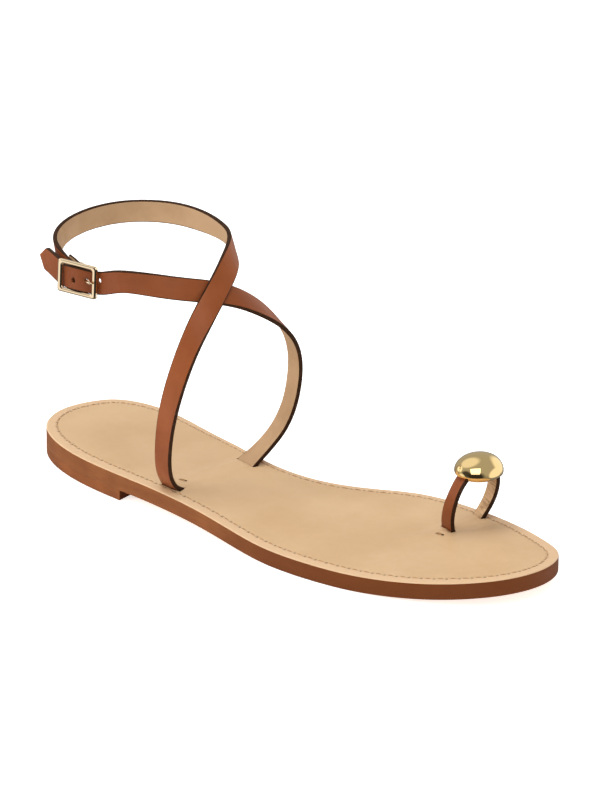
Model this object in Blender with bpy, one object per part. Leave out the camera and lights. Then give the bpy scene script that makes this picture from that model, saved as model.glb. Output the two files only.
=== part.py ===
"""Leather sandal for a right foot.

A low leather sole with a stacked heel carries two ankle straps, which cross over the instep and close with a
buckle, and a toe loop with a gold bead.

Shoe axes: x runs from the back of the heel to the toe, y from the outer to the inner side of the foot, z up
from the floor. Sizes are in millimetres and become metres when a mesh is made.
"""
import math

import bmesh
import bpy
import numpy as np

MM = 0.001
CLEARANCE = 0.3

# Sole: edges of the outline at each section, and the two ends
SOLE_LENGTH = 250.0
HEEL_BACK_Y = 4.0
TOE_TIP_Y = 6.0
SOLE_SECTIONS = (
    # along, outer edge, inner edge
    (4.0, -11.0, 17.0),
    (10.0, -17.5, 25.0),
    (20.0, -23.5, 29.5),
    (35.0, -28.5, 30.5),
    (60.0, -32.0, 25.5),
    (85.0, -34.0, 20.5),
    (105.0, -35.5, 18.5),
    (125.0, -38.5, 22.0),
    (145.0, -41.5, 31.5),
    (162.0, -42.0, 39.3),
    (182.0, -40.0, 42.0),
    (202.0, -35.5, 39.9),
    (220.0, -28.5, 34.6),
    (235.0, -19.0, 27.7),
    (245.0, -8.5, 20.5),
)
SOLE_THICKNESS = 7.7
INSOLE_THICKNESS = 2.0
HEEL_HEIGHT = 4.6
HEEL_BREAST_X = 61.5
ARCH_START_X = 72.0
BALL_START_X = 150.0
BALL_END_X = 180.0
TOE_SPRING = 6.0
TOE_SPRING_POWER = 1.7
SOLE_EDGE_ROUND = 0.6
HEEL_EDGE_ROUND = 0.8
SOLE_STATIONS = 48
HEEL_STATIONS = 20
OUTLINE_STEP = 0.5

# Ankle straps: the middle of the strap at each bend, and the compass heading of its outer face, in degrees
# from the toe towards the inner side
STRAP_WIDTH = 9.5
STRAP_THICKNESS = 1.8
STRAP_EDGE_ROUND = 0.35
STRAP_EDGE_SHARE = 0.6
STRAP_STEP = 2.6
OUTER_STRAP = (
    # along, across, up, heading
    (85.4, -23.6, 8.9, -80.0),
    (86.0, -31.2, 16.7, -97.0),
    (87.7, -35.3, 33.6, -102.5),
    (91.5, -34.7, 55.3, -95.5),
    (94.1, -26.5, 76.1, -83.0),
    (92.4, -10.3, 90.4, -56.0),
    (88.0, 7.2, 101.6, -35.5),
    (75.9, 19.9, 104.9, 0.5),
    (57.7, 22.8, 106.7, 50.5),
    (38.4, 21.3, 105.7, 102.5),
    (22.0, 12.4, 103.6, 137.0),
    (14.6, -4.5, 101.3, 155.0),
    (20.2, -21.8, 98.8, 175.5),
)
INNER_STRAP = (
    # along, across, up, heading
    (92.6, 9.5, 9.5, 76.0),
    (99.6, 24.4, 24.3, 63.5),
    (105.4, 27.2, 45.6, 68.5),
    (106.0, 23.8, 66.3, 67.0),
    (101.0, 12.7, 80.8, 51.5),
    (93.0, -2.8, 90.8, 39.0),
    (82.8, -19.1, 95.9, 16.0),
    (76.1, -32.3, 100.4, -26.5),
    (67.1, -37.9, 100.9, -72.5),
)

# Buckle: a flat frame that stands across the straps, with its centre bar set back towards the ankle
BUCKLE_CENTRE = (46.45, -39.8, 97.3)
BUCKLE_TILT = 3.0
BUCKLE_LEAN = 7.0
BUCKLE_LENGTH = 20.4
BUCKLE_HEIGHT = 13.6
BUCKLE_DEPTH = 1.6
BUCKLE_BAR = 2.3
BUCKLE_RAIL = 1.8
BUCKLE_CORNER = 1.3
BUCKLE_BEVEL = 0.35
WINDOW_CORNER = 1.1
CORNER_STEPS = 4
CENTRE_BAR_RADIUS = 0.7
CENTRE_BAR_BACK = 3.1
CENTRE_BAR_BEND = 0.9
BEND_ANGLES = (0.0, 30.0, 60.0, 90.0)
PRONG_RADIUS = 0.5
ROD_SIDES = 10
PRONG_WRAP = 240.0
PRONG_WRAP_POINTS = 13
PRONG_LEAVES_AT = -48.0
PRONG_STEP = 0.8
PRONG_PATH = (
    # forward of the bar, out of the frame
    (3.9, -3.0),
    (4.5, -2.0),
    (4.9, -0.5),
    (5.7, 0.75),
    (7.4, 1.6),
    (9.1, 1.65),
)

# The straps at the buckle: where their middle runs, measured from the frame
FOLD_THICKNESS = 1.0
FOLD_TAPER = (24.0, 14.0)
FOLD_ANGLES = (60.0, 30.0, 0.0, -30.0, -60.0, -90.0)
FOLD_RETURN = (
    # forward of the bar, out of the frame, up
    (-2.5, -5.3, 0.2),
    (-6.5, -7.1, 0.6),
    (-13.0, -10.1, 1.2),
)
FOLD_SLOT_WIDTH = 2.2
FOLD_SLOT_OUT = -0.9
FOLD_SLOT_SPARE = 1.0
OUTER_STRAP_AT_BUCKLE = (
    # forward of the bar, out of the frame, up, heading
    (-13.0, -8.5, 0.6, 228.0),
    (-6.5, -4.7, 0.3, 245.0),
    (0.0, -1.6, 0.0, 270.0),
)
INNER_STRAP_AT_BUCKLE = (
    # forward of the bar, out of the frame, up, heading
    (8.4, -2.25, -0.45, -90.0),
    (3.4, -0.3, -0.05, -90.0),
    (-3.4, -0.1, 0.0, -90.0),
    (-8.4, -2.3, -0.4, -93.0),
    (-16.0, -5.6, 0.7, -100.0),
    (-23.0, -9.0, 1.6, -105.0),
    (-29.4, -12.0, 2.1, -108.0),
)
TIP_LENGTH = 5.0
TIP_HALF_WIDTH = 0.6
HOLE_DIAMETER = 2.5
HOLE_DEPTH = 4.0
HOLE_SIDES = 12
STRAP_HOLES = (
    # forward of the bar, up
    (-1.3, -0.7),
    (4.9, 0.0),
    (10.1, 0.9),
)

# Toe loop and bead
LOOP_WIDTH = 7.0
LOOP_STEP = 1.8
LOOP_WIDTH_HEADING = -22.0
LOOP_WIDTH_TILT = 10.0
TOE_LOOP = (
    # along, across, up
    (191.5, 19.5, 6.0),
    (194.0, 15.5, 16.0),
    (196.5, 17.0, 27.0),
    (196.5, 28.0, 32.0),
    (198.5, 37.5, 29.8),
    (197.5, 39.9, 18.5),
    (193.5, 35.0, 6.0),
)
BEAD_CENTRE = (198.5, 29.45, 32.45)
BEAD_HALF_AXES = (9.5, 11.2)
BEAD_DOME = 6.7
BEAD_UNDERSIDE = 4.1
BEAD_ROLL = -4.0
SHOULDER_REACH = 1.0
SHOULDER_DROP = 6.0
SHOULDER_NARROW = 0.3
BEAD_SEGMENTS = 36
BEAD_RINGS = 20

# How much of a strap its slot follows
SLOT_FOLLOWS = 12.0

ORIGIN_X = SOLE_LENGTH / 2

COGNAC = (0.27, 0.075, 0.022, 1.0)
SOLE_EDGE_BROWN = (0.25, 0.10, 0.04, 1.0)
PALE_LEATHER = (0.70, 0.47, 0.26, 1.0)
GOLD = (0.85, 0.62, 0.28, 1.0)


def clear_scene():
    for item in list(bpy.data.objects):
        bpy.data.objects.remove(item, do_unlink=True)


def material(name, colour, roughness, metallic=0.0):
    made = bpy.data.materials.new(name)
    made.use_nodes = True
    shader = made.node_tree.nodes["Principled BSDF"]
    shader.inputs["Base Color"].default_value = colour
    shader.inputs["Roughness"].default_value = roughness
    shader.inputs["Metallic"].default_value = metallic
    return made


def spline(rows, step, closed=False):
    """Points every step or so along a smooth curve through the rows; extra columns ride along."""
    rows = np.array(rows, float)
    lap = len(rows)
    wrap = 4
    if closed:
        rows = np.vstack((rows[-wrap:], rows, rows[:wrap + 1]))
    gaps = np.linalg.norm(np.diff(rows[:, :3], axis=0), axis=1)
    knots = np.concatenate(([0.0], np.cumsum(gaps)))
    count = len(rows)
    system = np.eye(count)
    right = np.zeros_like(rows)
    slopes = np.diff(rows, axis=0) / gaps[:, None]
    for i in range(1, count - 1):
        system[i, i - 1:i + 2] = gaps[i - 1], 2 * (gaps[i - 1] + gaps[i]), gaps[i]
        right[i] = 6 * (slopes[i] - slopes[i - 1])
    bends = np.linalg.solve(system, right)
    first, last = (knots[wrap], knots[wrap + lap]) if closed else (0.0, knots[-1])
    places = np.linspace(first, last, max(2, round((last - first) / step)) + 1)
    index = np.clip(np.searchsorted(knots, places, side="right") - 1, 0, count - 2)
    gap = gaps[index]
    a = ((knots[index + 1] - places) / gap)[:, None]
    b = 1.0 - a
    curve = (a ** 3 - a) * bends[index] + (b ** 3 - b) * bends[index + 1]
    return a * rows[index] + b * rows[index + 1] + curve * gap[:, None] ** 2 / 6


def unit(vectors):
    return vectors / np.linalg.norm(vectors, axis=-1, keepdims=True)


def mesh_object(name, points, faces, parent, finish, angle=35.0):
    """A closed mesh object from points in millimetres."""
    mesh = bpy.data.meshes.new(name)
    mesh.from_pydata([tuple(float(value) * MM for value in point) for point in points], [], faces)
    builder = bmesh.new()
    builder.from_mesh(mesh)
    bmesh.ops.recalc_face_normals(builder, faces=builder.faces)
    builder.to_mesh(mesh)
    builder.free()
    mesh.shade_smooth()
    mesh.set_sharp_from_angle(angle=math.radians(angle))
    made = bpy.data.objects.new(name, mesh)
    bpy.context.collection.objects.link(made)
    made.parent = parent
    made.data.materials.append(finish)
    return made


def empty(name, parent=None):
    made = bpy.data.objects.new(name, None)
    bpy.context.collection.objects.link(made)
    made.parent = parent
    return made


def as_tool(tool):
    tool.hide_render = True
    tool.display_type = "WIRE"
    return tool


def combine(target, tool, operation):
    as_tool(tool)
    modifier = target.modifiers.new(tool.name, "BOOLEAN")
    modifier.operation = operation
    modifier.object = tool
    modifier.solver = "EXACT"


# Sole

def sole_edges():
    """The outer and inner branch of the outline, each from the heel's back to the toe's tip."""
    outer = [(x, y, 0.0) for x, y, _ in SOLE_SECTIONS]
    inner = [(x, y, 0.0) for x, _, y in SOLE_SECTIONS]
    loop = [(0.0, HEEL_BACK_Y, 0.0)] + outer + [(SOLE_LENGTH, TOE_TIP_Y, 0.0)] + inner[::-1]
    line = spline(loop, OUTLINE_STEP, closed=True)[:-1, :2]
    line = np.roll(line, -int(np.argmin(line[:, 0])), axis=0)
    toe = int(np.argmax(line[:, 0]))
    back_to_heel = np.vstack((line[toe:], line[:1]))
    return line[:toe + 1], back_to_heel[::-1]


def sole_ring(end_x=None):
    """The outline as pairs of points at shared stations, closest together where it turns round an end.

    With an end_x the outline stops there in a straight line across.
    """
    outer, inner = sole_edges()
    low, high = outer[0, 0], outer[-1, 0]
    if end_x is None:
        turn = np.linspace(0.0, math.pi, SOLE_STATIONS + 1)
        stations = low + (high - low) * (1 - np.cos(turn)) / 2
    else:
        turn = np.linspace(0.0, math.pi / 2, HEEL_STATIONS + 1)
        stations = low + (end_x - low) * (1 - np.cos(turn))
    outer_y = np.interp(stations, outer[:, 0], outer[:, 1])
    inner_y = np.interp(stations, inner[:, 0], inner[:, 1])
    inner_end = None if end_x else -1
    ring = list(zip(stations, outer_y)) + list(zip(stations[1:inner_end], inner_y[1:inner_end]))[::-1]
    return np.array(ring), len(stations)


def inset(ring, distance):
    """The ring moved inwards by a distance."""
    along = unit(np.roll(ring, -1, axis=0) - np.roll(ring, 1, axis=0))
    return ring + distance * np.column_stack((-along[:, 1], along[:, 0]))


def sole_floor(x):
    """Height of the underside of the sole above the floor."""
    arch = np.clip((x - ARCH_START_X) / (BALL_START_X - ARCH_START_X), 0.0, 1.0)
    spring = np.clip((x - BALL_END_X) / (SOLE_LENGTH - BALL_END_X), 0.0, None)
    return HEEL_HEIGHT * (1 - arch * arch * (3 - 2 * arch)) + TOE_SPRING * spring ** TOE_SPRING_POWER


def insole_top(x):
    return sole_floor(x) + SOLE_THICKNESS


def layer(name, levels, parent, finish, end_x=None):
    """A layer of the sole: levels are pairs of inset and height over the station, from below to above."""
    ring, stations = sole_ring(end_x)
    size = len(ring)
    points = []
    for distance, height in levels:
        edge = inset(ring, distance)
        points += [(x, y, height(x)) for x, y in edge]
    faces = []
    for level in range(len(levels) - 1):
        start = level * size
        for i in range(size):
            j = (i + 1) % size
            faces.append((start + i, start + j, start + size + j, start + size + i))
    for start in (0, (len(levels) - 1) * size):
        for i in range(stations - 1):
            corners = [start + i, start + i + 1, start + (size - i - 1) % size, start + (size - i) % size]
            faces.append(tuple(dict.fromkeys(corners)))
    return mesh_object(name, points, faces, parent, finish)


def make_outsole(parent, slot_tools):
    """The sole leather, with pockets for the ends of the straps."""
    top_gap = INSOLE_THICKNESS + CLEARANCE
    levels = (
        (SOLE_EDGE_ROUND, lambda x: sole_floor(x)),
        (0.0, lambda x: sole_floor(x) + SOLE_EDGE_ROUND),
        (0.0, lambda x: insole_top(x) - top_gap),
    )
    made = layer("outsole", levels, parent, material("sole_edge", SOLE_EDGE_BROWN, 0.5))
    for tool in slot_tools:
        combine(made, tool, "DIFFERENCE")
    return made


def make_heel_lift(parent):
    levels = (
        (HEEL_EDGE_ROUND, lambda x: 0.0),
        (0.0, lambda x: HEEL_EDGE_ROUND),
        (0.0, lambda x: HEEL_HEIGHT - CLEARANCE),
    )
    return layer("heel_lift", levels, parent, material("heel_edge", SOLE_EDGE_BROWN, 0.5), HEEL_BREAST_X)


def make_insole(parent, slot_tools):
    levels = (
        (0.0, lambda x: insole_top(x) - INSOLE_THICKNESS),
        (0.0, lambda x: insole_top(x) - SOLE_EDGE_ROUND),
        (SOLE_EDGE_ROUND, lambda x: insole_top(x)),
    )
    made = layer("insole", levels, parent, material("pale_leather", PALE_LEATHER, 0.6))
    for tool in slot_tools:
        combine(made, tool, "DIFFERENCE")
    return made


# Straps

def heading_vector(heading, tilt=0.0):
    angle = np.radians(heading)
    rise = np.radians(tilt)
    flat = np.cos(rise)
    return np.stack((np.cos(angle) * flat, np.sin(angle) * flat, np.sin(rise) + 0.0 * angle), axis=-1)


def across(vectors, along):
    """The part of each vector that stands square to the strap's run."""
    return unit(vectors - (vectors * along).sum(axis=1, keepdims=True) * along)


def strap_frame(rows, step):
    """Middle line and width direction of a strap whose outer face has a heading and a tilt at each row."""
    run = spline(rows, step)
    middle = run[:, :3]
    along = unit(np.gradient(middle, axis=0))
    face = across(heading_vector(run[:, 3], run[:, 4]), along)
    return middle, np.cross(face, along)


def strap_mesh(name, middle, width_way, half_width, half_thick, parent, finish, along=None):
    """A flat strap with softened edges along its middle line."""
    if along is None:
        along = unit(np.gradient(middle, axis=0))
    width_way = across(width_way, along)
    face = np.cross(along, width_way)
    count = len(middle)
    half_width = np.broadcast_to(half_width, count)
    half_thick = np.broadcast_to(half_thick, count)
    points = []
    for i in range(count):
        w, t = half_width[i], half_thick[i]
        edge = min(STRAP_EDGE_ROUND, STRAP_EDGE_SHARE * t, STRAP_EDGE_SHARE * w)
        section = ((w, t - edge), (w - edge, t), (0.0, t), (edge - w, t), (-w, t - edge),
                   (-w, edge - t), (edge - w, -t), (0.0, -t), (w - edge, -t), (w, edge - t))
        points += [middle[i] + width_way[i] * a + face[i] * b for a, b in section]
    sides = len(section)
    faces = [tuple(range(sides)), tuple(range((count - 1) * sides, count * sides))]
    for i in range(count - 1):
        for k in range(sides):
            j = (k + 1) % sides
            start = i * sides
            faces.append((start + k, start + j, start + sides + j))
            faces.append((start + k, start + sides + j, start + sides + k))
    return mesh_object(name, points, faces, parent, finish, angle=50.0)


def slot_tool(name, middle, width_way, half_width, parent, finish):
    """The end of a strap, a clearance larger all round."""
    length = np.concatenate(([0.0], np.cumsum(np.linalg.norm(np.diff(middle, axis=0), axis=1))))
    used = length <= SLOT_FOLLOWS
    along = unit(np.gradient(middle, axis=0))
    path = np.vstack((middle[0] - along[0] * CLEARANCE, middle[used]))
    ways = np.vstack((width_way[:1], width_way[used]))
    runs = np.vstack((along[:1], along[used]))
    half_thick = STRAP_THICKNESS / 2 + CLEARANCE
    tool = strap_mesh(name, path, ways, half_width + CLEARANCE, half_thick, parent, finish, runs)
    return as_tool(tool)


def buckle_point(forward, out, up=0.0):
    """Shoe coordinates of a point that is given from the middle of the buckle's frame."""
    tilt = math.radians(BUCKLE_TILT)
    lean = math.radians(BUCKLE_LEAN)
    inwards = up * math.sin(lean) - out * math.cos(lean)
    rise = up * math.cos(lean) + out * math.sin(lean)
    x = forward * math.cos(tilt) - rise * math.sin(tilt)
    z = forward * math.sin(tilt) + rise * math.cos(tilt)
    return BUCKLE_CENTRE[0] + x, BUCKLE_CENTRE[1] + inwards, BUCKLE_CENTRE[2] + z


def strap_rows(upright_rows, rows_at_buckle):
    """Rows of a strap that stands upright and then leans with the buckle; a tilt ends each row."""
    rows = [row + (0.0,) for row in upright_rows]
    for forward, out, up, heading in rows_at_buckle:
        rows.append(buckle_point(forward, out, up) + (heading, BUCKLE_LEAN))
    return rows


def outer_strap_run():
    """Middle line, width direction and half thickness of the strap that is folded round the centre bar."""
    middle, width_way = strap_frame(strap_rows(OUTER_STRAP, OUTER_STRAP_AT_BUCKLE), STRAP_STEP)
    bar_to_middle = CENTRE_BAR_RADIUS + CLEARANCE + FOLD_THICKNESS / 2
    fold = []
    for angle in FOLD_ANGLES:
        turn = math.radians(angle)
        fold.append(buckle_point(bar_to_middle * math.cos(turn),
                                 bar_to_middle * math.sin(turn) - CENTRE_BAR_BACK))
    fold += [buckle_point(*row) for row in FOLD_RETURN]
    upright = np.array(buckle_point(0.0, 0.0, 1.0)) - np.array(buckle_point(0.0, 0.0))
    left = np.concatenate((np.cumsum(np.linalg.norm(np.diff(middle, axis=0), axis=1)[::-1])[::-1], [0.0]))
    half = np.interp(left, FOLD_TAPER[::-1], (FOLD_THICKNESS / 2, STRAP_THICKNESS / 2))
    middle = np.vstack((middle, fold))
    sign = math.copysign(1.0, float(width_way[-1] @ upright))
    width_way = np.vstack((width_way, np.tile(sign * upright, (len(fold), 1))))
    half = np.concatenate((half, np.full(len(fold), FOLD_THICKNESS / 2)))
    return middle, width_way, half


def inner_strap_run():
    """Middle line, width direction and half width of the strap that runs through the buckle to a point."""
    middle, width_way = strap_frame(strap_rows(INNER_STRAP, INNER_STRAP_AT_BUCKLE), STRAP_STEP)
    left = np.concatenate((np.cumsum(np.linalg.norm(np.diff(middle, axis=0), axis=1)[::-1])[::-1], [0.0]))
    half = np.interp(left, (0.0, TIP_LENGTH), (TIP_HALF_WIDTH, STRAP_WIDTH / 2))
    return middle, width_way, half


def loop_run():
    middle = spline(TOE_LOOP, LOOP_STEP)
    way = heading_vector(np.full(len(middle), LOOP_WIDTH_HEADING), LOOP_WIDTH_TILT)
    return middle, way


def box_tool(name, low, high, parent, finish):
    """A box between two corners, given from the middle of the buckle's frame."""
    corners = [(x, -out, z) for x in (low[0], high[0]) for out in (low[1], high[1]) for z in (low[2], high[2])]
    faces = [(0, 1, 3, 2), (4, 6, 7, 5), (0, 4, 5, 1), (2, 3, 7, 6), (0, 2, 6, 4), (1, 5, 7, 3)]
    return as_tool(mesh_object(name, corners, faces, parent, finish))


def hole_tool(name, forward, out, up, parent, finish):
    """A round punch that stands square to the buckle's frame."""
    points = []
    for depth in (out - HOLE_DEPTH / 2, out + HOLE_DEPTH / 2):
        for i in range(HOLE_SIDES):
            turn = 2 * math.pi * i / HOLE_SIDES
            points.append((forward + HOLE_DIAMETER / 2 * math.cos(turn), -depth,
                           up + HOLE_DIAMETER / 2 * math.sin(turn)))
    faces = [tuple(range(HOLE_SIDES)), tuple(range(HOLE_SIDES, 2 * HOLE_SIDES))]
    for i in range(HOLE_SIDES):
        j = (i + 1) % HOLE_SIDES
        faces.append((i, j, HOLE_SIDES + j, HOLE_SIDES + i))
    return as_tool(mesh_object(name, points, faces, parent, finish))


def make_upper(parent, buckle_place):
    """Both ankle straps as one piece, with the slot for the prong and the punched holes."""
    finish = material("cognac_leather", COGNAC, 0.45)
    middle, way, half = outer_strap_run()
    upper = strap_mesh("upper", middle, way, STRAP_WIDTH / 2, half, parent, finish)
    reach = CENTRE_BAR_RADIUS + 2 * CLEARANCE + 2 * PRONG_RADIUS + FOLD_THICKNESS
    low = (-reach, -CENTRE_BAR_BACK - reach - FOLD_SLOT_SPARE, -FOLD_SLOT_WIDTH / 2)
    high = (reach, FOLD_SLOT_OUT, FOLD_SLOT_WIDTH / 2)
    slot = box_tool("fold_slot", low, high, buckle_place, finish)
    combine(upper, slot, "DIFFERENCE")
    middle, way, half = inner_strap_run()
    inner = strap_mesh("inner_strap", middle, way, half, STRAP_THICKNESS / 2, parent, finish)
    rows = np.array(INNER_STRAP_AT_BUCKLE[::-1])
    for i, (forward, up) in enumerate(STRAP_HOLES):
        out = float(np.interp(forward, rows[:, 0], rows[:, 1]))
        combine(inner, hole_tool(f"strap_hole_{i}", forward, out, up, buckle_place, finish), "DIFFERENCE")
    combine(upper, inner, "UNION")
    return upper


def make_slots(parent):
    """Cutting tools for the four slots that the straps go down into."""
    finish = material("slot", PALE_LEATHER, 0.6)
    outer_middle, outer_way, _ = outer_strap_run()
    inner_middle, inner_way, _ = inner_strap_run()
    loop_middle, loop_way = loop_run()
    ends = (
        ("outer_slot", outer_middle, outer_way, STRAP_WIDTH / 2),
        ("inner_slot", inner_middle, inner_way, STRAP_WIDTH / 2),
        ("loop_slot_outer", loop_middle, loop_way, LOOP_WIDTH / 2),
        ("loop_slot_inner", loop_middle[::-1], loop_way[::-1], LOOP_WIDTH / 2),
    )
    return [slot_tool(name, middle, way, half, parent, finish) for name, middle, way, half in ends]


def make_toe_loop(parent):
    middle, way = loop_run()
    finish = material("loop_leather", COGNAC, 0.45)
    return strap_mesh("toe_loop", middle, way, LOOP_WIDTH / 2, STRAP_THICKNESS / 2, parent, finish)


def bead_point(on_ball):
    """A point of the pebble, whose inner end comes down over the loop as a narrower shoulder."""
    x, y = (value * half for value, half in zip(on_ball, BEAD_HALF_AXES))
    z = on_ball[2] * (BEAD_DOME if on_ball[2] > 0 else BEAD_UNDERSIDE)
    inner = max(on_ball[1], 0.0) ** 2
    under = (1 - on_ball[2]) / 2
    y += SHOULDER_REACH * inner
    return x * (1 - SHOULDER_NARROW * inner * under), y, z - SHOULDER_DROP * inner * under


def make_toe_bead(parent):
    """A flat pebble with a tunnel for the toe loop."""
    finish = material("bead_gold", GOLD, 0.12, 1.0)
    mesh = bpy.data.meshes.new("toe_bead")
    builder = bmesh.new()
    bmesh.ops.create_uvsphere(builder, u_segments=BEAD_SEGMENTS, v_segments=BEAD_RINGS, radius=1.0)
    for vertex in builder.verts:
        vertex.co = [value * MM for value in bead_point(vertex.co)]
    builder.to_mesh(mesh)
    builder.free()
    mesh.shade_smooth()
    mesh.set_sharp_from_angle(angle=math.radians(40.0))
    mesh.materials.append(finish)
    bead = bpy.data.objects.new("toe_bead", mesh)
    bpy.context.collection.objects.link(bead)
    bead.parent = parent
    bead.location = [value * MM for value in BEAD_CENTRE]
    bead.rotation_euler = (math.radians(BEAD_ROLL), 0.0, 0.0)
    middle, way = loop_run()
    half_thick = STRAP_THICKNESS / 2 + CLEARANCE
    tunnel = strap_mesh("bead_tunnel", middle, way, LOOP_WIDTH / 2 + CLEARANCE, half_thick, parent, finish)
    combine(bead, tunnel, "DIFFERENCE")
    return bead


# Buckle, in the axes of its own place: x forward along the strap, y towards the ankle, z up

def rounded_rectangle(length, height, radius):
    points = []
    centres = ((1, 1, 0), (-1, 1, 90), (-1, -1, 180), (1, -1, 270))
    for side_x, side_z, start in centres:
        for step in range(CORNER_STEPS + 1):
            turn = math.radians(start + 90.0 * step / CORNER_STEPS)
            points.append((side_x * (length / 2 - radius) + radius * math.cos(turn),
                           side_z * (height / 2 - radius) + radius * math.sin(turn)))
    return points


def rod(name, path, square_way, radius, parent, finish):
    """A round bar along a path that lies in one plane; square_way stands square to that plane."""
    path = np.array(path, float)
    along = unit(np.gradient(path, axis=0))
    aside = np.cross(along, square_way)
    count = len(path)
    points = []
    for i in range(count):
        for k in range(ROD_SIDES):
            turn = 2 * math.pi * k / ROD_SIDES
            spoke = math.cos(turn) * np.array(square_way) + math.sin(turn) * aside[i]
            points.append(path[i] + radius * spoke)
    faces = [tuple(range(ROD_SIDES)), tuple(range((count - 1) * ROD_SIDES, count * ROD_SIDES))]
    for i in range(count - 1):
        for k in range(ROD_SIDES):
            j = (k + 1) % ROD_SIDES
            start = i * ROD_SIDES
            faces.append((start + k, start + j, start + ROD_SIDES + j, start + ROD_SIDES + k))
    return mesh_object(name, points, faces, parent, finish, angle=50.0)


def make_buckle_frame(place):
    """A bevelled frame with a centre bar that hangs behind it from both rails."""
    finish = material("buckle_gold", GOLD, 0.2, 1.0)
    half = BUCKLE_DEPTH / 2
    window = (BUCKLE_LENGTH - 2 * BUCKLE_BAR, BUCKLE_HEIGHT - 2 * BUCKLE_RAIL)
    b = BUCKLE_BEVEL
    loops = (
        (BUCKLE_LENGTH, BUCKLE_HEIGHT, BUCKLE_CORNER, b - half),
        (BUCKLE_LENGTH, BUCKLE_HEIGHT, BUCKLE_CORNER, half - b),
        (BUCKLE_LENGTH - 2 * b, BUCKLE_HEIGHT - 2 * b, BUCKLE_CORNER - b, half),
        (window[0] + 2 * b, window[1] + 2 * b, WINDOW_CORNER + b, half),
        (window[0], window[1], WINDOW_CORNER, half - b),
        (window[0], window[1], WINDOW_CORNER, b - half),
        (window[0] + 2 * b, window[1] + 2 * b, WINDOW_CORNER + b, -half),
        (BUCKLE_LENGTH - 2 * b, BUCKLE_HEIGHT - 2 * b, BUCKLE_CORNER - b, -half),
    )
    points = []
    for length, height, radius, out in loops:
        points += [(x, -out, z) for x, z in rounded_rectangle(length, height, radius)]
    size = len(points) // len(loops)
    faces = []
    for level in range(len(loops)):
        other = (level + 1) % len(loops)
        for i in range(size):
            j = (i + 1) % size
            faces.append((level * size + i, level * size + j, other * size + j, other * size + i))
    frame = mesh_object("buckle_frame", points, faces, place, finish, angle=30.0)
    rail_z = (BUCKLE_HEIGHT - BUCKLE_RAIL) / 2
    side = [(rail_z, 0.0)]
    for angle in BEND_ANGLES:
        turn = math.radians(angle)
        side.append((rail_z - CENTRE_BAR_BEND * (1 - math.cos(turn)),
                     CENTRE_BAR_BACK - CENTRE_BAR_BEND * (1 - math.sin(turn))))
    path = [(0.0, y, z) for z, y in side] + [(0.0, y, -z) for z, y in side[::-1]]
    bar = rod("centre_bar", path, (1.0, 0.0, 0.0), CENTRE_BAR_RADIUS, place, finish)
    combine(frame, bar, "UNION")
    return frame


def make_buckle_prong(place):
    """A pin hooked round the centre bar, out through the strap's hole and on to the front bar."""
    finish = material("prong_gold", GOLD, 0.2, 1.0)
    hook = CENTRE_BAR_RADIUS + CLEARANCE + PRONG_RADIUS
    path = []
    for angle in np.linspace(PRONG_LEAVES_AT - PRONG_WRAP, PRONG_LEAVES_AT, PRONG_WRAP_POINTS):
        turn = math.radians(angle)
        path.append((hook * math.cos(turn), CENTRE_BAR_BACK - hook * math.sin(turn), 0.0))
    lead = [(path[-1][0], path[-1][1], 0.0)] + [(forward, -out, 0.0) for forward, out in PRONG_PATH]
    path += [tuple(point) for point in spline(lead, PRONG_STEP)[1:]]
    return rod("buckle_prong", path, (0.0, 0.0, 1.0), PRONG_RADIUS, place, finish)


def main():
    clear_scene()
    shoe = empty("shoe")
    shoe.location = (-ORIGIN_X * MM, 0.0, 0.0)
    buckle_place = empty("buckle_place", shoe)
    buckle_place.location = tuple(value * MM for value in BUCKLE_CENTRE)
    buckle_place.rotation_euler = (-math.radians(BUCKLE_LEAN), -math.radians(BUCKLE_TILT), 0.0)
    slot_tools = make_slots(shoe)
    make_outsole(shoe, slot_tools)
    make_heel_lift(shoe)
    make_insole(shoe, slot_tools)
    make_upper(shoe, buckle_place)
    make_toe_loop(shoe)
    make_toe_bead(shoe)
    make_buckle_frame(buckle_place)
    make_buckle_prong(buckle_place)


main()
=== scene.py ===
"""Looks of the leather sandal: leather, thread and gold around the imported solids.

Shoe axes: x runs from the back of the heel to the toe, y from the outer to the inner side of the foot, z up
from the floor. Sizes are in millimetres and become metres in the model's frame when a mesh is made.
"""
import math

import bmesh
import bpy
import numpy as np
from mathutils import Matrix
from mathutils.kdtree import KDTree


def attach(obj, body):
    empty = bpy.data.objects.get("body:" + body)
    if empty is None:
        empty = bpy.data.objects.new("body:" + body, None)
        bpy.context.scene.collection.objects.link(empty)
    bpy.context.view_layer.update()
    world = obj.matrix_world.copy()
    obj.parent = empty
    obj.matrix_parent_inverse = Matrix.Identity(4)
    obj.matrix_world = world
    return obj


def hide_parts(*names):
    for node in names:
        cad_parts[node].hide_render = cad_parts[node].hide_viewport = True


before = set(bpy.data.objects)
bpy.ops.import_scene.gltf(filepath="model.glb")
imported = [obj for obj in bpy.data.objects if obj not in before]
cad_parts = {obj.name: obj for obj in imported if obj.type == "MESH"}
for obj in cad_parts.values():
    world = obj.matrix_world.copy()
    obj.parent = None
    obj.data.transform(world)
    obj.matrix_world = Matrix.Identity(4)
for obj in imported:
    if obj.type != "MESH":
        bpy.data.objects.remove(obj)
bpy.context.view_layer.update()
BODY = "root"
MM = 0.001
WELD = 0.002
MIX_COLOURS = (6, 7)
MIX_RESULT = 2

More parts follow.
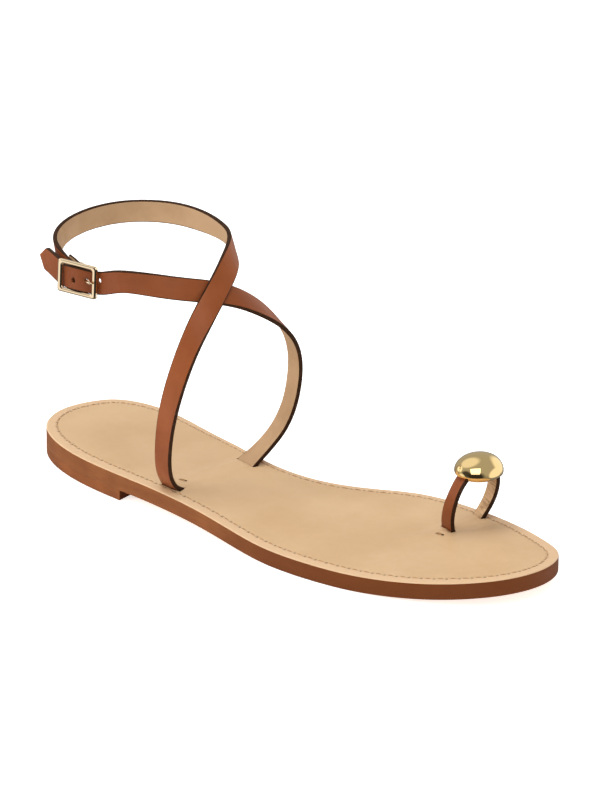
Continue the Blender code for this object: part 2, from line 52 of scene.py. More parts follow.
# Sole: edges of the outline at each section, and the two ends
SOLE_LENGTH = 250.0
HEEL_BACK_Y = 4.0
TOE_TIP_Y = 6.0
SOLE_SECTIONS = (
    # along, outer edge, inner edge
    (4.0, -11.0, 17.0),
    (10.0, -17.5, 25.0),
    (20.0, -23.5, 29.5),
    (35.0, -28.5, 30.5),
    (60.0, -32.0, 25.5),
    (85.0, -34.0, 20.5),
    (105.0, -35.5, 18.5),
    (125.0, -38.5, 22.0),
    (145.0, -41.5, 31.5),
    (162.0, -42.0, 39.3),
    (182.0, -40.0, 42.0),
    (202.0, -35.5, 39.9),
    (220.0, -28.5, 34.6),
    (235.0, -19.0, 27.7),
    (245.0, -8.5, 20.5),
)
SOLE_THICKNESS = 7.7
INSOLE_THICKNESS = 2.0
HEEL_HEIGHT = 4.6
HEEL_BREAST_X = 61.5
ARCH_START_X = 72.0
BALL_START_X = 150.0
BALL_END_X = 180.0
TOE_SPRING = 6.0
TOE_SPRING_POWER = 1.7
OUTLINE_STEP = 0.25
SPINE_ENDS = (24.0, 226.0)
SPINE_STEP = 0.5
SPINE_ROWS = 14
# Painted shade on the sole's edge towards the toe: where it starts and where it is full along the sole, and
# how far it goes
FORE_PAINTED_SHADE = (105.0, 150.0)
FORE_PAINTED_SHADE_SHARE = 0.85
SOLE_POINTS = 480
SOLE_LOWER_EDGE = (
    # inset, lift, finish: 0 edge, 1 underside
    (6.0, 0.0, 1),
    (1.4, 0.0, 1),
    (0.7, 0.06, 0),
    (0.3, 0.2, 0),
    (0.08, 0.42, 0),
    (0.0, 0.75, 0),
)
SOLE_SIDE_SHARES = (0.35, 0.7, 1.0)
HEEL_SEAM = 0.05
HEEL_SEAM_FADE = 2.0
HEEL_POINTS = 420
HEEL_FRONT_POINTS = 90
HEEL_SPINE_ENDS = (24.0, HEEL_BREAST_X - 22.0)
HEEL_PROFILE = (
    # inset, lift, finish: 0 edge, 1 underside
    (1.2, 0.0, 1),
    (0.5, 0.08, 0),
    (0.14, 0.35, 0),
    (0.0, 0.8, 0),
    (0.0, 2.2, 0),
    (0.0, 4.2, 0),
    (0.06, 4.4, 0),
    (0.06, HEEL_HEIGHT, 0),
)
# The heel's faces towards the toe take a darker finish: the breast's own dark paint plus painted shade under
# the arch
BREAST_FACING = 0.9
BREAST_FINISH = 2

# Stitching along the insole's edge
STITCH_COUNT = 108
STITCH_DIVISIONS = 16
STITCH_INSET = 4.5
STITCH_SLANT = 0.22
INNER_STITCHES = (
    # along, share of the inset on the inner side
    (0.0, 1.0),
    (20.0, 0.85),
    (50.0, 0.68),
    (70.0, 0.55),
    (110.0, 0.55),
    (150.0, 0.75),
    (190.0, 0.8),
    (225.0, 1.0),
)
INNER_FADE = 12.0
INSOLE_CORNER = 0.7
INSOLE_CORNER_TURN = (22.5, 67.5)
INSOLE_CORNER_POINTS = 3
MARGIN_INSETS = (1.3, 2.2)
FIELD_INSETS = (6.2, 7.4, 9.0, 11.0)
CHANNEL_HALF_WIDTH = 0.5
CHANNEL_SHARES = (-2.0, -1.4, -1.0, -0.7, -0.35, 0.0, 0.35, 0.7, 1.0, 1.4, 2.0)
CHANNEL_DEPTH = 0.14
MARGIN_DROP = 0.18
PIT_DEPTH = 0.5
PIT_RADIUS = 0.52
THREAD_RADIUS = 0.24
THREAD_SIDES = 8
THREAD_RINGS = 9
THREAD_GAP = 2
THREAD_SUNK = 0.45
THREAD_LIFT = 0.6
THREAD_ARCH_POWER = 0.55
THREAD_END_SHARE = 0.62

# Ankle straps: the middle of the strap at each bend, and the compass heading of its outer face, in degrees
# from the toe towards the inner side
STRAP_WIDTH = 9.5
STRAP_THICKNESS = 1.8
STRAP_CORNER = 0.42
STRAP_CORNER_SHARE = 0.8
STRAP_CORNER_POINTS = 3
STRAP_CROWN = 0.12
STRAP_FACE_POINTS = 9
STRAP_LINING_POINTS = 7
OUTER_FACE, PAINTED_EDGE, LINING_FACE = range(3)
STRAP_STEP = 0.9
OUTER_STRAP = (
    # along, across, up, heading
    (85.4, -23.6, 8.9, -80.0),
    (86.0, -31.2, 16.7, -97.0),
    (87.7, -35.3, 33.6, -102.5),
    (91.5, -34.7, 55.3, -95.5),
    (94.1, -26.5, 76.1, -83.0),
    (92.4, -10.3, 90.4, -56.0),
    (88.0, 7.2, 101.6, -35.5),
    (75.9, 19.9, 104.9, 0.5),
    (57.7, 22.8, 106.7, 50.5),
    (38.4, 21.3, 105.7, 102.5),
    (22.0, 12.4, 103.6, 137.0),
    (14.6, -4.5, 101.3, 155.0),
    (20.2, -21.8, 98.8, 175.5),
)
INNER_STRAP = (
    # along, across, up, heading
    (92.6, 9.5, 9.5, 76.0),
    (99.6, 24.4, 24.3, 63.5),
    (105.4, 27.2, 45.6, 68.5),
    (106.0, 23.8, 66.3, 67.0),
    (101.0, 12.7, 80.8, 51.5),
    (93.0, -2.8, 90.8, 39.0),
    (82.8, -19.1, 95.9, 16.0),
    (76.1, -32.3, 100.4, -26.5),
    (67.1, -37.9, 100.9, -72.5),
)

# Buckle: a flat frame that stands across the straps, with its centre bar set back towards the ankle
BUCKLE_CENTRE = (46.45, -39.8, 97.3)
BUCKLE_TILT = 3.0
BUCKLE_LEAN = 7.0
BUCKLE_LENGTH = 20.4
BUCKLE_HEIGHT = 13.6
BUCKLE_BAR = 2.3
BUCKLE_RAIL = 1.8
BUCKLE_CORNER = 1.3
WINDOW_CORNER = 1.1
BUCKLE_CORNER_STEPS = 10
# Painted shade round the buckle on the strap leather: the distances where it is strongest and where it is
# gone, and its strength
BUCKLE_SHADE_REACH = (10.0, 36.0)
BUCKLE_SHADE_SHARE = 0.7
BUCKLE_PROFILE = (
    # share of the bar from outside to inside, out of the frame
    (0.0, -0.5),
    (0.0, 0.28),
    (0.05, 0.42),
    (0.24, 0.72),
    (0.32, 0.78),
    (0.42, 0.74),
    (0.58, 0.74),
    (0.68, 0.78),
    (0.76, 0.72),
    (0.95, 0.42),
    (1.0, 0.28),
    (1.0, -0.5),
    (0.86, -0.76),
    (0.14, -0.76),
)
CENTRE_BAR_RADIUS = 0.7
CENTRE_BAR_BACK = 3.1
CENTRE_BAR_BEND = 0.9
BEND_POINTS = 10
PRONG_RADIUS = 0.55
ROD_SIDES = 20
PRONG_WRAP = 240.0
PRONG_WRAP_POINTS = 33
PRONG_LEAVES_AT = -48.0
PRONG_STEP = 0.3
PRONG_PATH = (
    # forward of the bar, out of the frame
    (3.9, -3.0),
    (4.5, -2.0),
    (4.9, -0.5),
    (5.7, 0.75),
    (7.4, 1.6),
    (9.1, 1.65),
)
PRONG_TAPER = (
    # length left to the tip, share of the radius
    (0.0, 0.35),
    (0.15, 0.7),
    (0.5, 0.92),
    (4.0, 1.0),
)

# The straps at the buckle: where their middle runs, measured from the frame
CLEARANCE = 0.3
FOLD_THICKNESS = 1.0
FOLD_TAPER = (24.0, 14.0)
FOLD_RETURN = (
    # forward of the bar, out of the frame, up
    (-2.5, -5.3, 0.2),
    (-6.5, -7.1, 0.6),
    (-13.0, -10.1, 1.2),
)
FOLD_POINTS = 16
FOLD_TURN = (80.0, -90.0)
FOLD_SLOT_WIDTH = 2.2
FOLD_SLOT_OUT = -0.9
FOLD_SLOT_SPARE = 1.0
OUTER_STRAP_AT_BUCKLE = (
    # forward of the bar, out of the frame, up, heading
    (-13.0, -8.5, 0.6, 228.0),
    (-6.5, -4.7, 0.3, 245.0),
    (0.0, -1.6, 0.0, 270.0),
)
INNER_STRAP_AT_BUCKLE = (
    # forward of the bar, out of the frame, up, heading
    (8.4, -2.25, -0.45, -90.0),
    (3.4, -0.3, -0.05, -90.0),
    (-3.4, -0.1, 0.0, -90.0),
    (-8.4, -2.3, -0.4, -93.0),
    (-16.0, -5.6, 0.7, -100.0),
    (-23.0, -9.0, 1.6, -105.0),
    (-29.4, -12.0, 2.1, -108.0),
)
TIP_LENGTH = 5.0
TIP_HALF_WIDTH = 0.6
HOLE_DIAMETER = 2.5
HOLE_DEPTH = 5.0
HOLE_SIDES = 28
STRAP_HOLES = (
    # forward of the bar, up
    (-1.3, -0.7),
    (4.9, 0.0),
    (10.1, 0.9),
)

# Toe loop and bead
LOOP_WIDTH = 7.0
LOOP_STEP = 0.35
LOOP_WIDTH_HEADING = -22.0
LOOP_WIDTH_TILT = 10.0
TOE_LOOP = (
    # along, across, up
    (191.5, 19.5, 6.0),
    (194.0, 15.5, 16.0),
    (196.5, 17.0, 27.0),
    (196.5, 28.0, 32.0),
    (198.5, 37.5, 29.8),
    (197.5, 39.9, 18.5),
    (193.5, 35.0, 6.0),
)
WRINKLE_PITCH = 1.25
WRINKLE_DEPTH = 0.15
WRINKLE_SWAY = 1.3
WRINKLE_SWAY_RATE = 0.9
BEAD_CENTRE = (198.5, 29.45, 32.45)
BEAD_HALF_AXES = (9.5, 11.2)
BEAD_DOME = 6.7
BEAD_UNDERSIDE = 4.1
BEAD_ROLL = -4.0
SHOULDER_REACH = 1.0
SHOULDER_DROP = 6.0
SHOULDER_NARROW = 0.3
BEAD_SEGMENTS = 144
BEAD_RINGS = 72

# Slots in the insole, and the strap ends that lie under it and lift it a little
SLOT_GAP = 0.22
SLOT_FOLLOWS = 12.0
RIDGE_HEIGHT = 0.6
RIDGE_SOFTNESS = 5.0
RIDGE_START = (-3.0, 1.0)
RIDGES = (
    # along and across at the slot, run of the strap end, its length, half width
    (86.0, -25.0, (4.0, 30.0), 24.0, 4.5),
    (93.0, 9.0, (-5.0, -30.0), 22.0, 4.5),
    (192.0, 19.0, (-8.0, -22.0), 20.0, 3.2),
    (194.0, 34.5, (-6.0, -22.0), 18.0, 3.2),
)
PIN_MARKS = (
    # along, across
    (85.6, -20.5),
    (192.5, 11.9),
)
PIN_DENT_AXES = (1.65, 0.8, 0.3)
PIN_HOLE_AXES = (0.65, 0.6, 1.0)
PIN_HOLE_AHEAD = 1.3
PIN_HEADING = 12.0
PIN_SEGMENTS = 24
PIN_RINGS = 12

# Camera, fitted to the photograph
IMAGE_LONG_SIDE = 800.0
CAMERA_AZIMUTH = 38.12
CAMERA_ELEVATION = 23.85
CAMERA_ROLL = 0.49
CAMERA_DISTANCE = 2200.0
CAMERA_TARGET = (82.94, 59.88, 20.0)
CAMERA_FOCAL_PIXELS = 5250.4
CAMERA_CLIP = (0.05, 50.0)
SENSOR = 36.0

# Floor, room and lights; a bearing runs from the camera towards the picture's right
FLOOR_HALF = 6.0
FLOOR_GLOW = 0.8
FLOOR_ROUGHNESS = 0.9
LIGHT_AIM = (0.0, 0.0, 0.05)
ROOM_LEVEL = 0.45
ROOM_ZONES = (
    # bearing, elevation, full inside, gone outside, brightness
    (-140.0, 58.0, 22.0, 32.0, 0.95),
    (-108.0, 18.0, 10.0, 22.0, 1.5),
    (0.0, -90.0, 70.0, 95.0, 0.25),
    (-50.0, 14.0, 20.0, 34.0, 0.06),
    (0.0, 0.0, 30.0, 48.0, 0.03),
    (92.0, -6.0, 28.0, 36.0, 1.1),
    (130.0, 8.0, 24.0, 34.0, 1.1),
    (-75.0, -14.0, 10.0, 22.0, 1.05),
)
SOFT_BOXES = (
    # name, bearing, elevation, distance, size, power, seen in reflections
    ("top_box", -120.0, 78.0, 1.9, (1.5, 1.5), 15.5, False),
    ("window_box", 3.0, 49.0, 1.5, (1.15, 1.3), 9.0, True),
    ("left_box", -75.0, 30.0, 1.6, (0.6, 1.0), 11.0, False),
)

# Colours, linear
COGNAC = (0.25, 0.067, 0.018)
COGNAC_DEEP = (0.205, 0.052, 0.013)
# Painted shade: the strap colour it goes to round the buckle
COGNAC_PAINTED_SHADE = (0.145, 0.036, 0.010)
EDGE_PAINT = (0.030, 0.012, 0.005)
EDGE_PAINT_WORN = (0.055, 0.024, 0.012)
LINING = (0.44, 0.28, 0.155)
LINING_DEEP = (0.38, 0.235, 0.125)
LOOP_LINING = (0.57, 0.38, 0.215)
LOOP_LINING_DEEP = (0.49, 0.315, 0.175)
# Painted shade in the wrinkles of the toe loop's lining
LINING_WRINKLE_SHADE = (0.32, 0.19, 0.095)
INSOLE = (0.60, 0.405, 0.225)
INSOLE_DEEP = (0.54, 0.35, 0.185)
INSOLE_MARGIN = (0.62, 0.415, 0.24)
# Painted shade in the needle holes and the pin holes; also the deeper blotches on the slot walls
PIT_SHADE_BROWN = (0.05, 0.02, 0.008)
PIT_SHADE_DEEP = (0.03, 0.012, 0.005)
SLOT_BROWN = (0.27, 0.14, 0.06)
PIN_DENT = (0.44, 0.26, 0.12)
SOLE_EDGE = (0.235, 0.079, 0.023)
SOLE_EDGE_DEEP = (0.17, 0.052, 0.014)
# Painted shade: the colour the sole's edge goes to towards the toe
SOLE_EDGE_FORE_SHADE = (0.127, 0.031, 0.0045)
SOLE_UNDER = (0.42, 0.235, 0.11)
SOLE_UNDER_DEEP = (0.33, 0.175, 0.08)
HEEL_EDGE = (0.235, 0.073, 0.020)
# The breast's own dark paint, darkened further by painted shade
HEEL_BREAST_PAINT_AND_SHADE = (0.085, 0.020, 0.006)
HEEL_BREAST_PAINT_AND_SHADE_DEEP = (0.05, 0.012, 0.004)
THREAD = (0.46, 0.28, 0.14)
THREAD_DEEP = (0.36, 0.20, 0.095)
PUNCHED_LEATHER = (0.34, 0.13, 0.05)
BEAD_GOLD = (0.93, 0.68, 0.31)
BUCKLE_GOLD = (0.93, 0.72, 0.47)
PALE_FLOOR = (0.86, 0.86, 0.86)
LEATHERS = (
    # name, colour, deeper colour, roughness, grain depth, pore depth, blotch size, specular level
    ("cognac", COGNAC, COGNAC_DEEP, 0.4, 0.018, 0.02, 20.0, 0.2),
    ("lining", LINING, LINING_DEEP, 0.62, 0.025, 0.03, 14.0, 0.18),
    ("loop_lining", LOOP_LINING, LOOP_LINING_DEEP, 0.62, 0.025, 0.03, 14.0, 0.18),
    ("punched_leather", PUNCHED_LEATHER, COGNAC_DEEP, 0.7, 0.04, 0.04, 16.0, 0.18),
    ("insole_top", INSOLE, INSOLE_DEEP, 0.42, 0.012, 0.02, 34.0, 0.4),
    ("slot_brown", SLOT_BROWN, PIT_SHADE_BROWN, 0.6, 0.03, 0.03, 2.2, 0.18),
    ("pin_dent", PIN_DENT, SLOT_BROWN, 0.6, 0.03, 0.03, 6.0, 0.18),
    # Painted shade: the pin holes dark inside
    ("pin_hole", PIT_SHADE_BROWN, PIT_SHADE_DEEP, 0.6, 0.03, 0.03, 2.2, 0.18),
    ("sole_under", SOLE_UNDER, SOLE_UNDER_DEEP, 0.6, 0.03, 0.03, 16.0, 0.18),
    ("heel_breast_paint_and_shade", HEEL_BREAST_PAINT_AND_SHADE, HEEL_BREAST_PAINT_AND_SHADE_DEEP, 0.7, 0.03, 0.03, 6.0, 0.02),
)


# Small helpers

def unit(vectors):
    return vectors / np.linalg.norm(vectors, axis=-1, keepdims=True)


def smooth(low, high, value):
    share = np.clip((value - low) / (high - low), 0.0, 1.0)
    return share * share * (3 - 2 * share)


def running_length(points):
    return np.concatenate(([0.0], np.cumsum(np.linalg.norm(np.diff(points, axis=0), axis=1))))


def spline(rows, step, closed=False):
    """Points every step or so along a smooth curve through the rows; extra columns ride along."""
    rows = np.array(rows, float)
    lap = len(rows)
    wrap = 4
    if closed:
        rows = np.vstack((rows[-wrap:], rows, rows[:wrap + 1]))
    knots = running_length(rows[:, :3])
    gaps = np.diff(knots)
    count = len(rows)
    system = np.eye(count)
    right = np.zeros_like(rows)
    slopes = np.diff(rows, axis=0) / gaps[:, None]
    for i in range(1, count - 1):
        system[i, i - 1:i + 2] = gaps[i - 1], 2 * (gaps[i - 1] + gaps[i]), gaps[i]
        right[i] = 6 * (slopes[i] - slopes[i - 1])
    bends = np.linalg.solve(system, right)
    first, last = (knots[wrap], knots[wrap + lap]) if closed else (0.0, knots[-1])
    places = np.linspace(first, last, max(2, round((last - first) / step)) + 1)
    index = np.clip(np.searchsorted(knots, places, side="right") - 1, 0, count - 2)
    gap = gaps[index]
    a = ((knots[index + 1] - places) / gap)[:, None]
    b = 1.0 - a
    curve = (a ** 3 - a) * bends[index] + (b ** 3 - b) * bends[index + 1]
    return a * rows[index] + b * rows[index + 1] + curve * gap[:, None] ** 2 / 6


def arc(radius, first, last, count):
    """Points on a stretch of a circle between two angles in degrees."""
    turn = np.radians(np.linspace(first, last, count))
    return radius * np.column_stack((np.cos(turn), np.sin(turn)))


def heading_vector(heading, tilt=0.0):
    """A direction by its compass heading and its rise, in degrees."""
    angle = np.radians(heading)
    rise = np.radians(tilt)
    flat = np.cos(rise)
    return np.stack((np.cos(angle) * flat, np.sin(angle) * flat, np.sin(rise) + 0.0 * angle), axis=-1)


def in_frame(points):
    """Shoe millimetres to the model's frame in metres."""
    return (np.asarray(points, float) - (SOLE_LENGTH / 2, 0.0, 0.0)) * MM


def add_object(name, data):
    made = bpy.data.objects.new(name, data)
    bpy.context.collection.objects.link(made)
    return made


def turned(axes, place):
    """The matrix of an object with the given axes at a place in metres."""
    return Matrix.Translation(place) @ Matrix(np.column_stack(axes).tolist()).to_4x4()


def add_mesh(name, points, faces, finishes, finish_of_face=None, angle=40.0):
    """A mesh object from shoe millimetres, with doubled points merged and faces pointing out."""
    mesh = bpy.data.meshes.new(name)
    mesh.from_pydata(in_frame(points).tolist(), [], faces)
    for finish in finishes:
        mesh.materials.append(finish)
    if finish_of_face is not None:
        mesh.polygons.foreach_set("material_index", np.asarray(finish_of_face, dtype=np.int32))
    builder = bmesh.new()
    builder.from_mesh(mesh)
    bmesh.ops.remove_doubles(builder, verts=builder.verts, dist=MM * WELD)
    bmesh.ops.dissolve_degenerate(builder, edges=builder.edges, dist=MM * WELD)
    bmesh.ops.recalc_face_normals(builder, faces=builder.faces)
    builder.to_mesh(mesh)
    builder.free()
    mesh.shade_smooth()
    mesh.set_sharp_from_angle(angle=math.radians(angle))
    return add_object(name, mesh)


def dress(piece, slot, *nodes):
    """Puts a piece on the shoe, in place of its solid."""
    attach(piece, BODY)
    if nodes:
        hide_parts(*nodes)


def cut(piece, tools):
    """Cuts the tools out of a piece and deletes them."""
    for tool in tools:
        modifier = piece.modifiers.new("cut", "BOOLEAN")
        modifier.operation = "DIFFERENCE"
        modifier.solver = "EXACT"
        modifier.material_mode = "TRANSFER"
        modifier.object = tool
    graph = bpy.context.evaluated_depsgraph_get()
    result = bpy.data.meshes.new_from_object(piece.evaluated_get(graph))
    old = piece.data
    piece.modifiers.clear()
    piece.data = result
    bpy.data.meshes.remove(old)
    result.name = piece.name
    for tool in tools:
        bpy.data.objects.remove(tool, do_unlink=True)


def turns(count):
    """Angles spaced evenly round a circle."""
    return [2 * math.pi * i / count for i in range(count)]


def ring_faces(first, second, count):
    """Quads between two rings of points that start at the given numbers."""
    return [(first + i, first + (i + 1) % count, second + (i + 1) % count, second + i) for i in range(count)]


def tube_faces(first, rings, sides):
    """Two end caps, then the quads of a tube whose points follow each other ring by ring."""
    last = first + (rings - 1) * sides
    faces = [tuple(range(first, first + sides)), tuple(range(last, last + sides))]
    for start in range(first, last, sides):
        faces += ring_faces(start, start + sides, sides)
    return faces


# Shader helpers

def base_material(name, constants):
    """A Principled material with its constant values set on the shader itself."""
    made = bpy.data.materials.new(name)
    made.use_nodes = True
    shader = made.node_tree.nodes["Principled BSDF"]
    for socket, value in constants.items():
        shader.inputs[socket].default_value = value
    return made, made.node_tree, shader


def feed(tree, shader, tone=None, shine=None, normal=None):
    """Links what is given to a shader's colour, roughness and normal."""
    for socket, value in (("Base Color", tone), ("Roughness", shine), ("Normal", normal)):
        if value is not None:
            tree.links.new(value, shader.inputs[socket])


def parts_of(made):
    """Tree, shader and tone of a finished material, to change its tone."""
    tree = made.node_tree
    shader = tree.nodes["Principled BSDF"]
    return tree, shader, shader.inputs["Base Color"].links[0].from_socket


def spot(tree):
    return tree.nodes.new("ShaderNodeTexCoord").outputs["Object"]


def texture(tree, kind, size, stretch=(1.0, 1.0, 1.0), **settings):
    """A texture whose features are about size millimetres across, stretched along the shoe's axes."""
    mapping = tree.nodes.new("ShaderNodeMapping")
    mapping.inputs["Scale"].default_value = [1.0 / (MM * size * share) for share in stretch]
    made = tree.nodes.new(kind)
    made.inputs["Scale"].default_value = 1.0
    for socket, value in settings.items():
        made.inputs[socket].default_value = value
    tree.links.new(spot(tree), mapping.inputs["Vector"])
    tree.links.new(mapping.outputs["Vector"], made.inputs["Vector"])
    return made


def noise(tree, size, stretch=(1.0, 1.0, 1.0), **settings):
    return texture(tree, "ShaderNodeTexNoise", size, stretch, **settings).outputs["Fac"]


def between(tree, value, low, high, to_low=0.0, to_high=1.0):
    """A value moved from one range to another and held inside it."""
    made = tree.nodes.new("ShaderNodeMapRange")
    for socket, number in zip(("From Min", "From Max", "To Min", "To Max"), (low, high, to_low, to_high)):
        made.inputs[socket].default_value = number
    tree.links.new(value, made.inputs["Value"])
    return made.outputs["Result"]


def mixed(tree, factor, first, second):
    """A colour between two; each is a colour or an output socket."""
    made = tree.nodes.new("ShaderNodeMix")
    made.data_type = "RGBA"
    tree.links.new(factor, made.inputs["Factor"])
    for number, colour in zip(MIX_COLOURS, (first, second)):
        if isinstance(colour, tuple):
            made.inputs[number].default_value = (*colour, 1.0)
        else:
            tree.links.new(colour, made.inputs[number])
    return made.outputs[MIX_RESULT]


def bumped(tree, height, depth, normal=None):
    """A normal that shows a height texture of the given depth in millimetres."""
    made = tree.nodes.new("ShaderNodeBump")
    made.inputs["Strength"].default_value = 1.0
    made.inputs["Distance"].default_value = depth * MM
    tree.links.new(height, made.inputs["Height"])
    if normal is not None:
        tree.links.new(normal, made.inputs["Normal"])
    return made.outputs["Normal"]


def mask(tree, name):
    made = tree.nodes.new("ShaderNodeAttribute")
    made.attribute_name = name
    return made.outputs["Fac"]


# Finishes

def leather(name, colour, deep, roughness, grain, pore, blotch, shine_level):
    """Smooth leather: soft blotches of a deeper tone, a fine grain of cells and open pores."""
    made, tree, shader = base_material(name, {"Specular IOR Level": shine_level})
    clouds = noise(tree, blotch, Detail=4.0, Roughness=0.55)
    tone = mixed(tree, between(tree, clouds, 0.36, 0.66), colour, deep)
    cells = texture(tree, "ShaderNodeTexVoronoi", 0.55).outputs["Distance"]
    fine = noise(tree, 0.22, Detail=3.0)
    normal = bumped(tree, fine, pore, bumped(tree, cells, grain))
    gloss = noise(tree, 3.5, Detail=3.0)
    shine = between(tree, gloss, 0.3, 0.7, roughness - 0.06, roughness + 0.06)
    feed(tree, shader, tone, shine, normal)
    return made


def darken_near_buckle_with_painted_shade(made):
    """Paints shade into a leather: darker round the buckle."""
    tree, shader, tone = parts_of(made)
    reach = tree.nodes.new("ShaderNodeVectorMath")
    reach.operation = "DISTANCE"
    reach.inputs[1].default_value = in_frame(BUCKLE_CENTRE)
    tree.links.new(spot(tree), reach.inputs[0])
    near, far = (distance * MM for distance in BUCKLE_SHADE_REACH)
    share = between(tree, reach.outputs["Value"], near, far, BUCKLE_SHADE_SHARE, 0.0)
    feed(tree, shader, mixed(tree, share, tone, COGNAC_PAINTED_SHADE))


def tint_by_masks(made):
    """Makes a leather lighter outside the stitches, and paints shade dark into the needle holes."""
    tree, shader, tone = parts_of(made)
    tone = mixed(tree, mask(tree, "margin"), tone, INSOLE_MARGIN)
    # Painted shade in the needle holes
    feed(tree, shader, mixed(tree, mask(tree, "pit"), tone, PIT_SHADE_BROWN))


def sole_edge_leather(name, colour, deep, fore=None):
    """Cut edge of sole leather, stained and burnished: fibres run along it in thin layers.

    With a fore colour, painted shade goes over to it towards the toe.
    """
    constants = {"Coat Weight": 0.04, "Coat Roughness": 0.28, "Specular IOR Level": 0.12}
    made, tree, shader = base_material(name, constants)
    clouds = noise(tree, 11.0, (1.0, 1.0, 0.5), Detail=3.0)
    layers = noise(tree, 0.7, (14.0, 14.0, 1.0), Detail=4.0, Roughness=0.6)
    tone = mixed(tree, between(tree, clouds, 0.35, 0.7, 0.0, 0.75), colour, deep)
    tone = mixed(tree, between(tree, layers, 0.52, 0.8, 0.0, 0.5), tone, deep)
    # Painted shade: the edge grows darker towards the toe
    if fore is not None:
        split = tree.nodes.new("ShaderNodeSeparateXYZ")
        tree.links.new(spot(tree), split.inputs["Vector"])
        low, high = ((x - SOLE_LENGTH / 2) * MM for x in FORE_PAINTED_SHADE)
        share = between(tree, split.outputs["X"], low, high, 0.0, FORE_PAINTED_SHADE_SHARE)
        tone = mixed(tree, share, tone, fore)
    shine = between(tree, layers, 0.3, 0.7, 0.36, 0.5)
    feed(tree, shader, tone, shine, bumped(tree, layers, 0.05))
    return made


def paint_wrinkle_shade(made):
    """Paints shade into the toe loop's lining: darker stripes across it stand for the shadows of fine
    wrinkles.
    """
    tree, shader, tone = parts_of(made)
    wrinkle_shade = noise(tree, 1.1, (4.0, 4.0, 0.8), Detail=2.0)
    share = between(tree, wrinkle_shade, 0.48, 0.66, 0.0, 0.8)
    feed(tree, shader, mixed(tree, share, tone, LINING_WRINKLE_SHADE))


def edge_paint():
    """Dark painted edge of a strap, a little uneven."""
    made, tree, shader = base_material("edge_paint", {"Specular IOR Level": 0.08})
    uneven = noise(tree, 1.6, Detail=4.0)
    tone = mixed(tree, between(tree, uneven, 0.45, 0.75), EDGE_PAINT, EDGE_PAINT_WORN)
    shine = between(tree, uneven, 0.3, 0.7, 0.4, 0.55)
    feed(tree, shader, tone, shine, bumped(tree, uneven, 0.06))
    return made


def thread():
    """Waxed thread with a twist."""
    made, tree, shader = base_material("thread", {"Roughness": 0.6})
    twist = noise(tree, 0.3, Detail=2.0)
    tone = mixed(tree, between(tree, twist, 0.35, 0.65), THREAD, THREAD_DEEP)
    feed(tree, shader, tone, normal=bumped(tree, twist, 0.08))
    return made


def gold(name, colour, roughness, spread):
    """Polished plating with faint wipe marks."""
    made, tree, shader = base_material(name, {"Metallic": 1.0, "Base Color": (*colour, 1.0)})
    wipe = noise(tree, 1.2, (3.0, 1.0, 1.0), Detail=5.0)
    feed(tree, shader, shine=between(tree, wipe, 0.35, 0.75, roughness, roughness + spread))
    return made


# Sole

def sole_floor(x):
    """Height of the underside of the sole above the floor."""
    arch = smooth(ARCH_START_X, BALL_START_X, x)
    spring = np.clip((x - BALL_END_X) / (SOLE_LENGTH - BALL_END_X), 0.0, None)
    return HEEL_HEIGHT * (1 - arch) + TOE_SPRING * spring ** TOE_SPRING_POWER


def insole_top(x):
    return sole_floor(x) + SOLE_THICKNESS


def outline_loop():
    """The sole's outline from the heel's back along the outer side, the toe and the inner side, closed."""
    outer = [(x, y, 0.0) for x, y, _ in SOLE_SECTIONS]
    inner = [(x, y, 0.0) for x, _, y in SOLE_SECTIONS]
    loop = [(0.0, HEEL_BACK_Y, 0.0)] + outer + [(SOLE_LENGTH, TOE_TIP_Y, 0.0)] + inner[::-1]
    return spline(loop, OUTLINE_STEP, closed=True)[:, :2]


def evenly(line, count):
    """Points spaced evenly round a closed line whose last point is its first, and the ways inwards."""
    length = running_length(line)
    places = np.linspace(0.0, length[-1], count, endpoint=False)
    points = np.column_stack([np.interp(places, length, line[:, k]) for k in (0, 1)])
    along = unit(np.roll(points, -1, axis=0) - np.roll(points, 1, axis=0))
    return points, np.column_stack((-along[:, 1], along[:, 0]))


def middle_line(x):
    """How far across the middle of the sole lies, at places along it."""
    rows = np.array(SOLE_SECTIONS)
    return np.interp(x, rows[:, 0], (rows[:, 1] + rows[:, 2]) / 2)


def fill_rows(edge, ends):
    """Rows of points from a ring in to the nearest shared places on the middle line."""
    x = np.round(np.clip(edge[:, 0], *ends) / SPINE_STEP) * SPINE_STEP
    spine = np.column_stack((x, middle_line(x)))
    return [edge + (spine - edge) * (row + 1) / SPINE_ROWS for row in range(SPINE_ROWS)]


def stacked(name, levels, finishes):
    """A closed layer from levels: each a ring of points, all of the same count, and its finish."""
    rings = [ring for ring, _ in levels]
    count = len(rings[0])
    faces = []
    finish = []
    for level, (_, slot) in enumerate(levels[:-1]):
        faces += ring_faces(level * count, (level + 1) * count, count)
        finish += [slot] * count
    return add_mesh(name, np.vstack(rings), faces, finishes, finish)


def raised(flat, heights):
    return np.column_stack((flat, np.broadcast_to(heights, len(flat))))


def ridge_heights(flat):
    """How far the strap ends under the insole lift it."""
    lift = np.zeros(len(flat))
    for x, y, run, length, half in RIDGES:
        way = unit(np.array(run))
        offset = flat - (x, y)
        along = offset @ way
        aside = np.abs(offset @ (-way[1], way[0]))
        ends = smooth(*RIDGE_START, along)
        ends *= 1 - smooth(length - RIDGE_SOFTNESS, length + RIDGE_SOFTNESS, along)
        sides = 1 - smooth(half - RIDGE_SOFTNESS / 2, half + RIDGE_SOFTNESS / 2, aside)
        lift = np.maximum(lift, RIDGE_HEIGHT * ends * sides)
    return lift


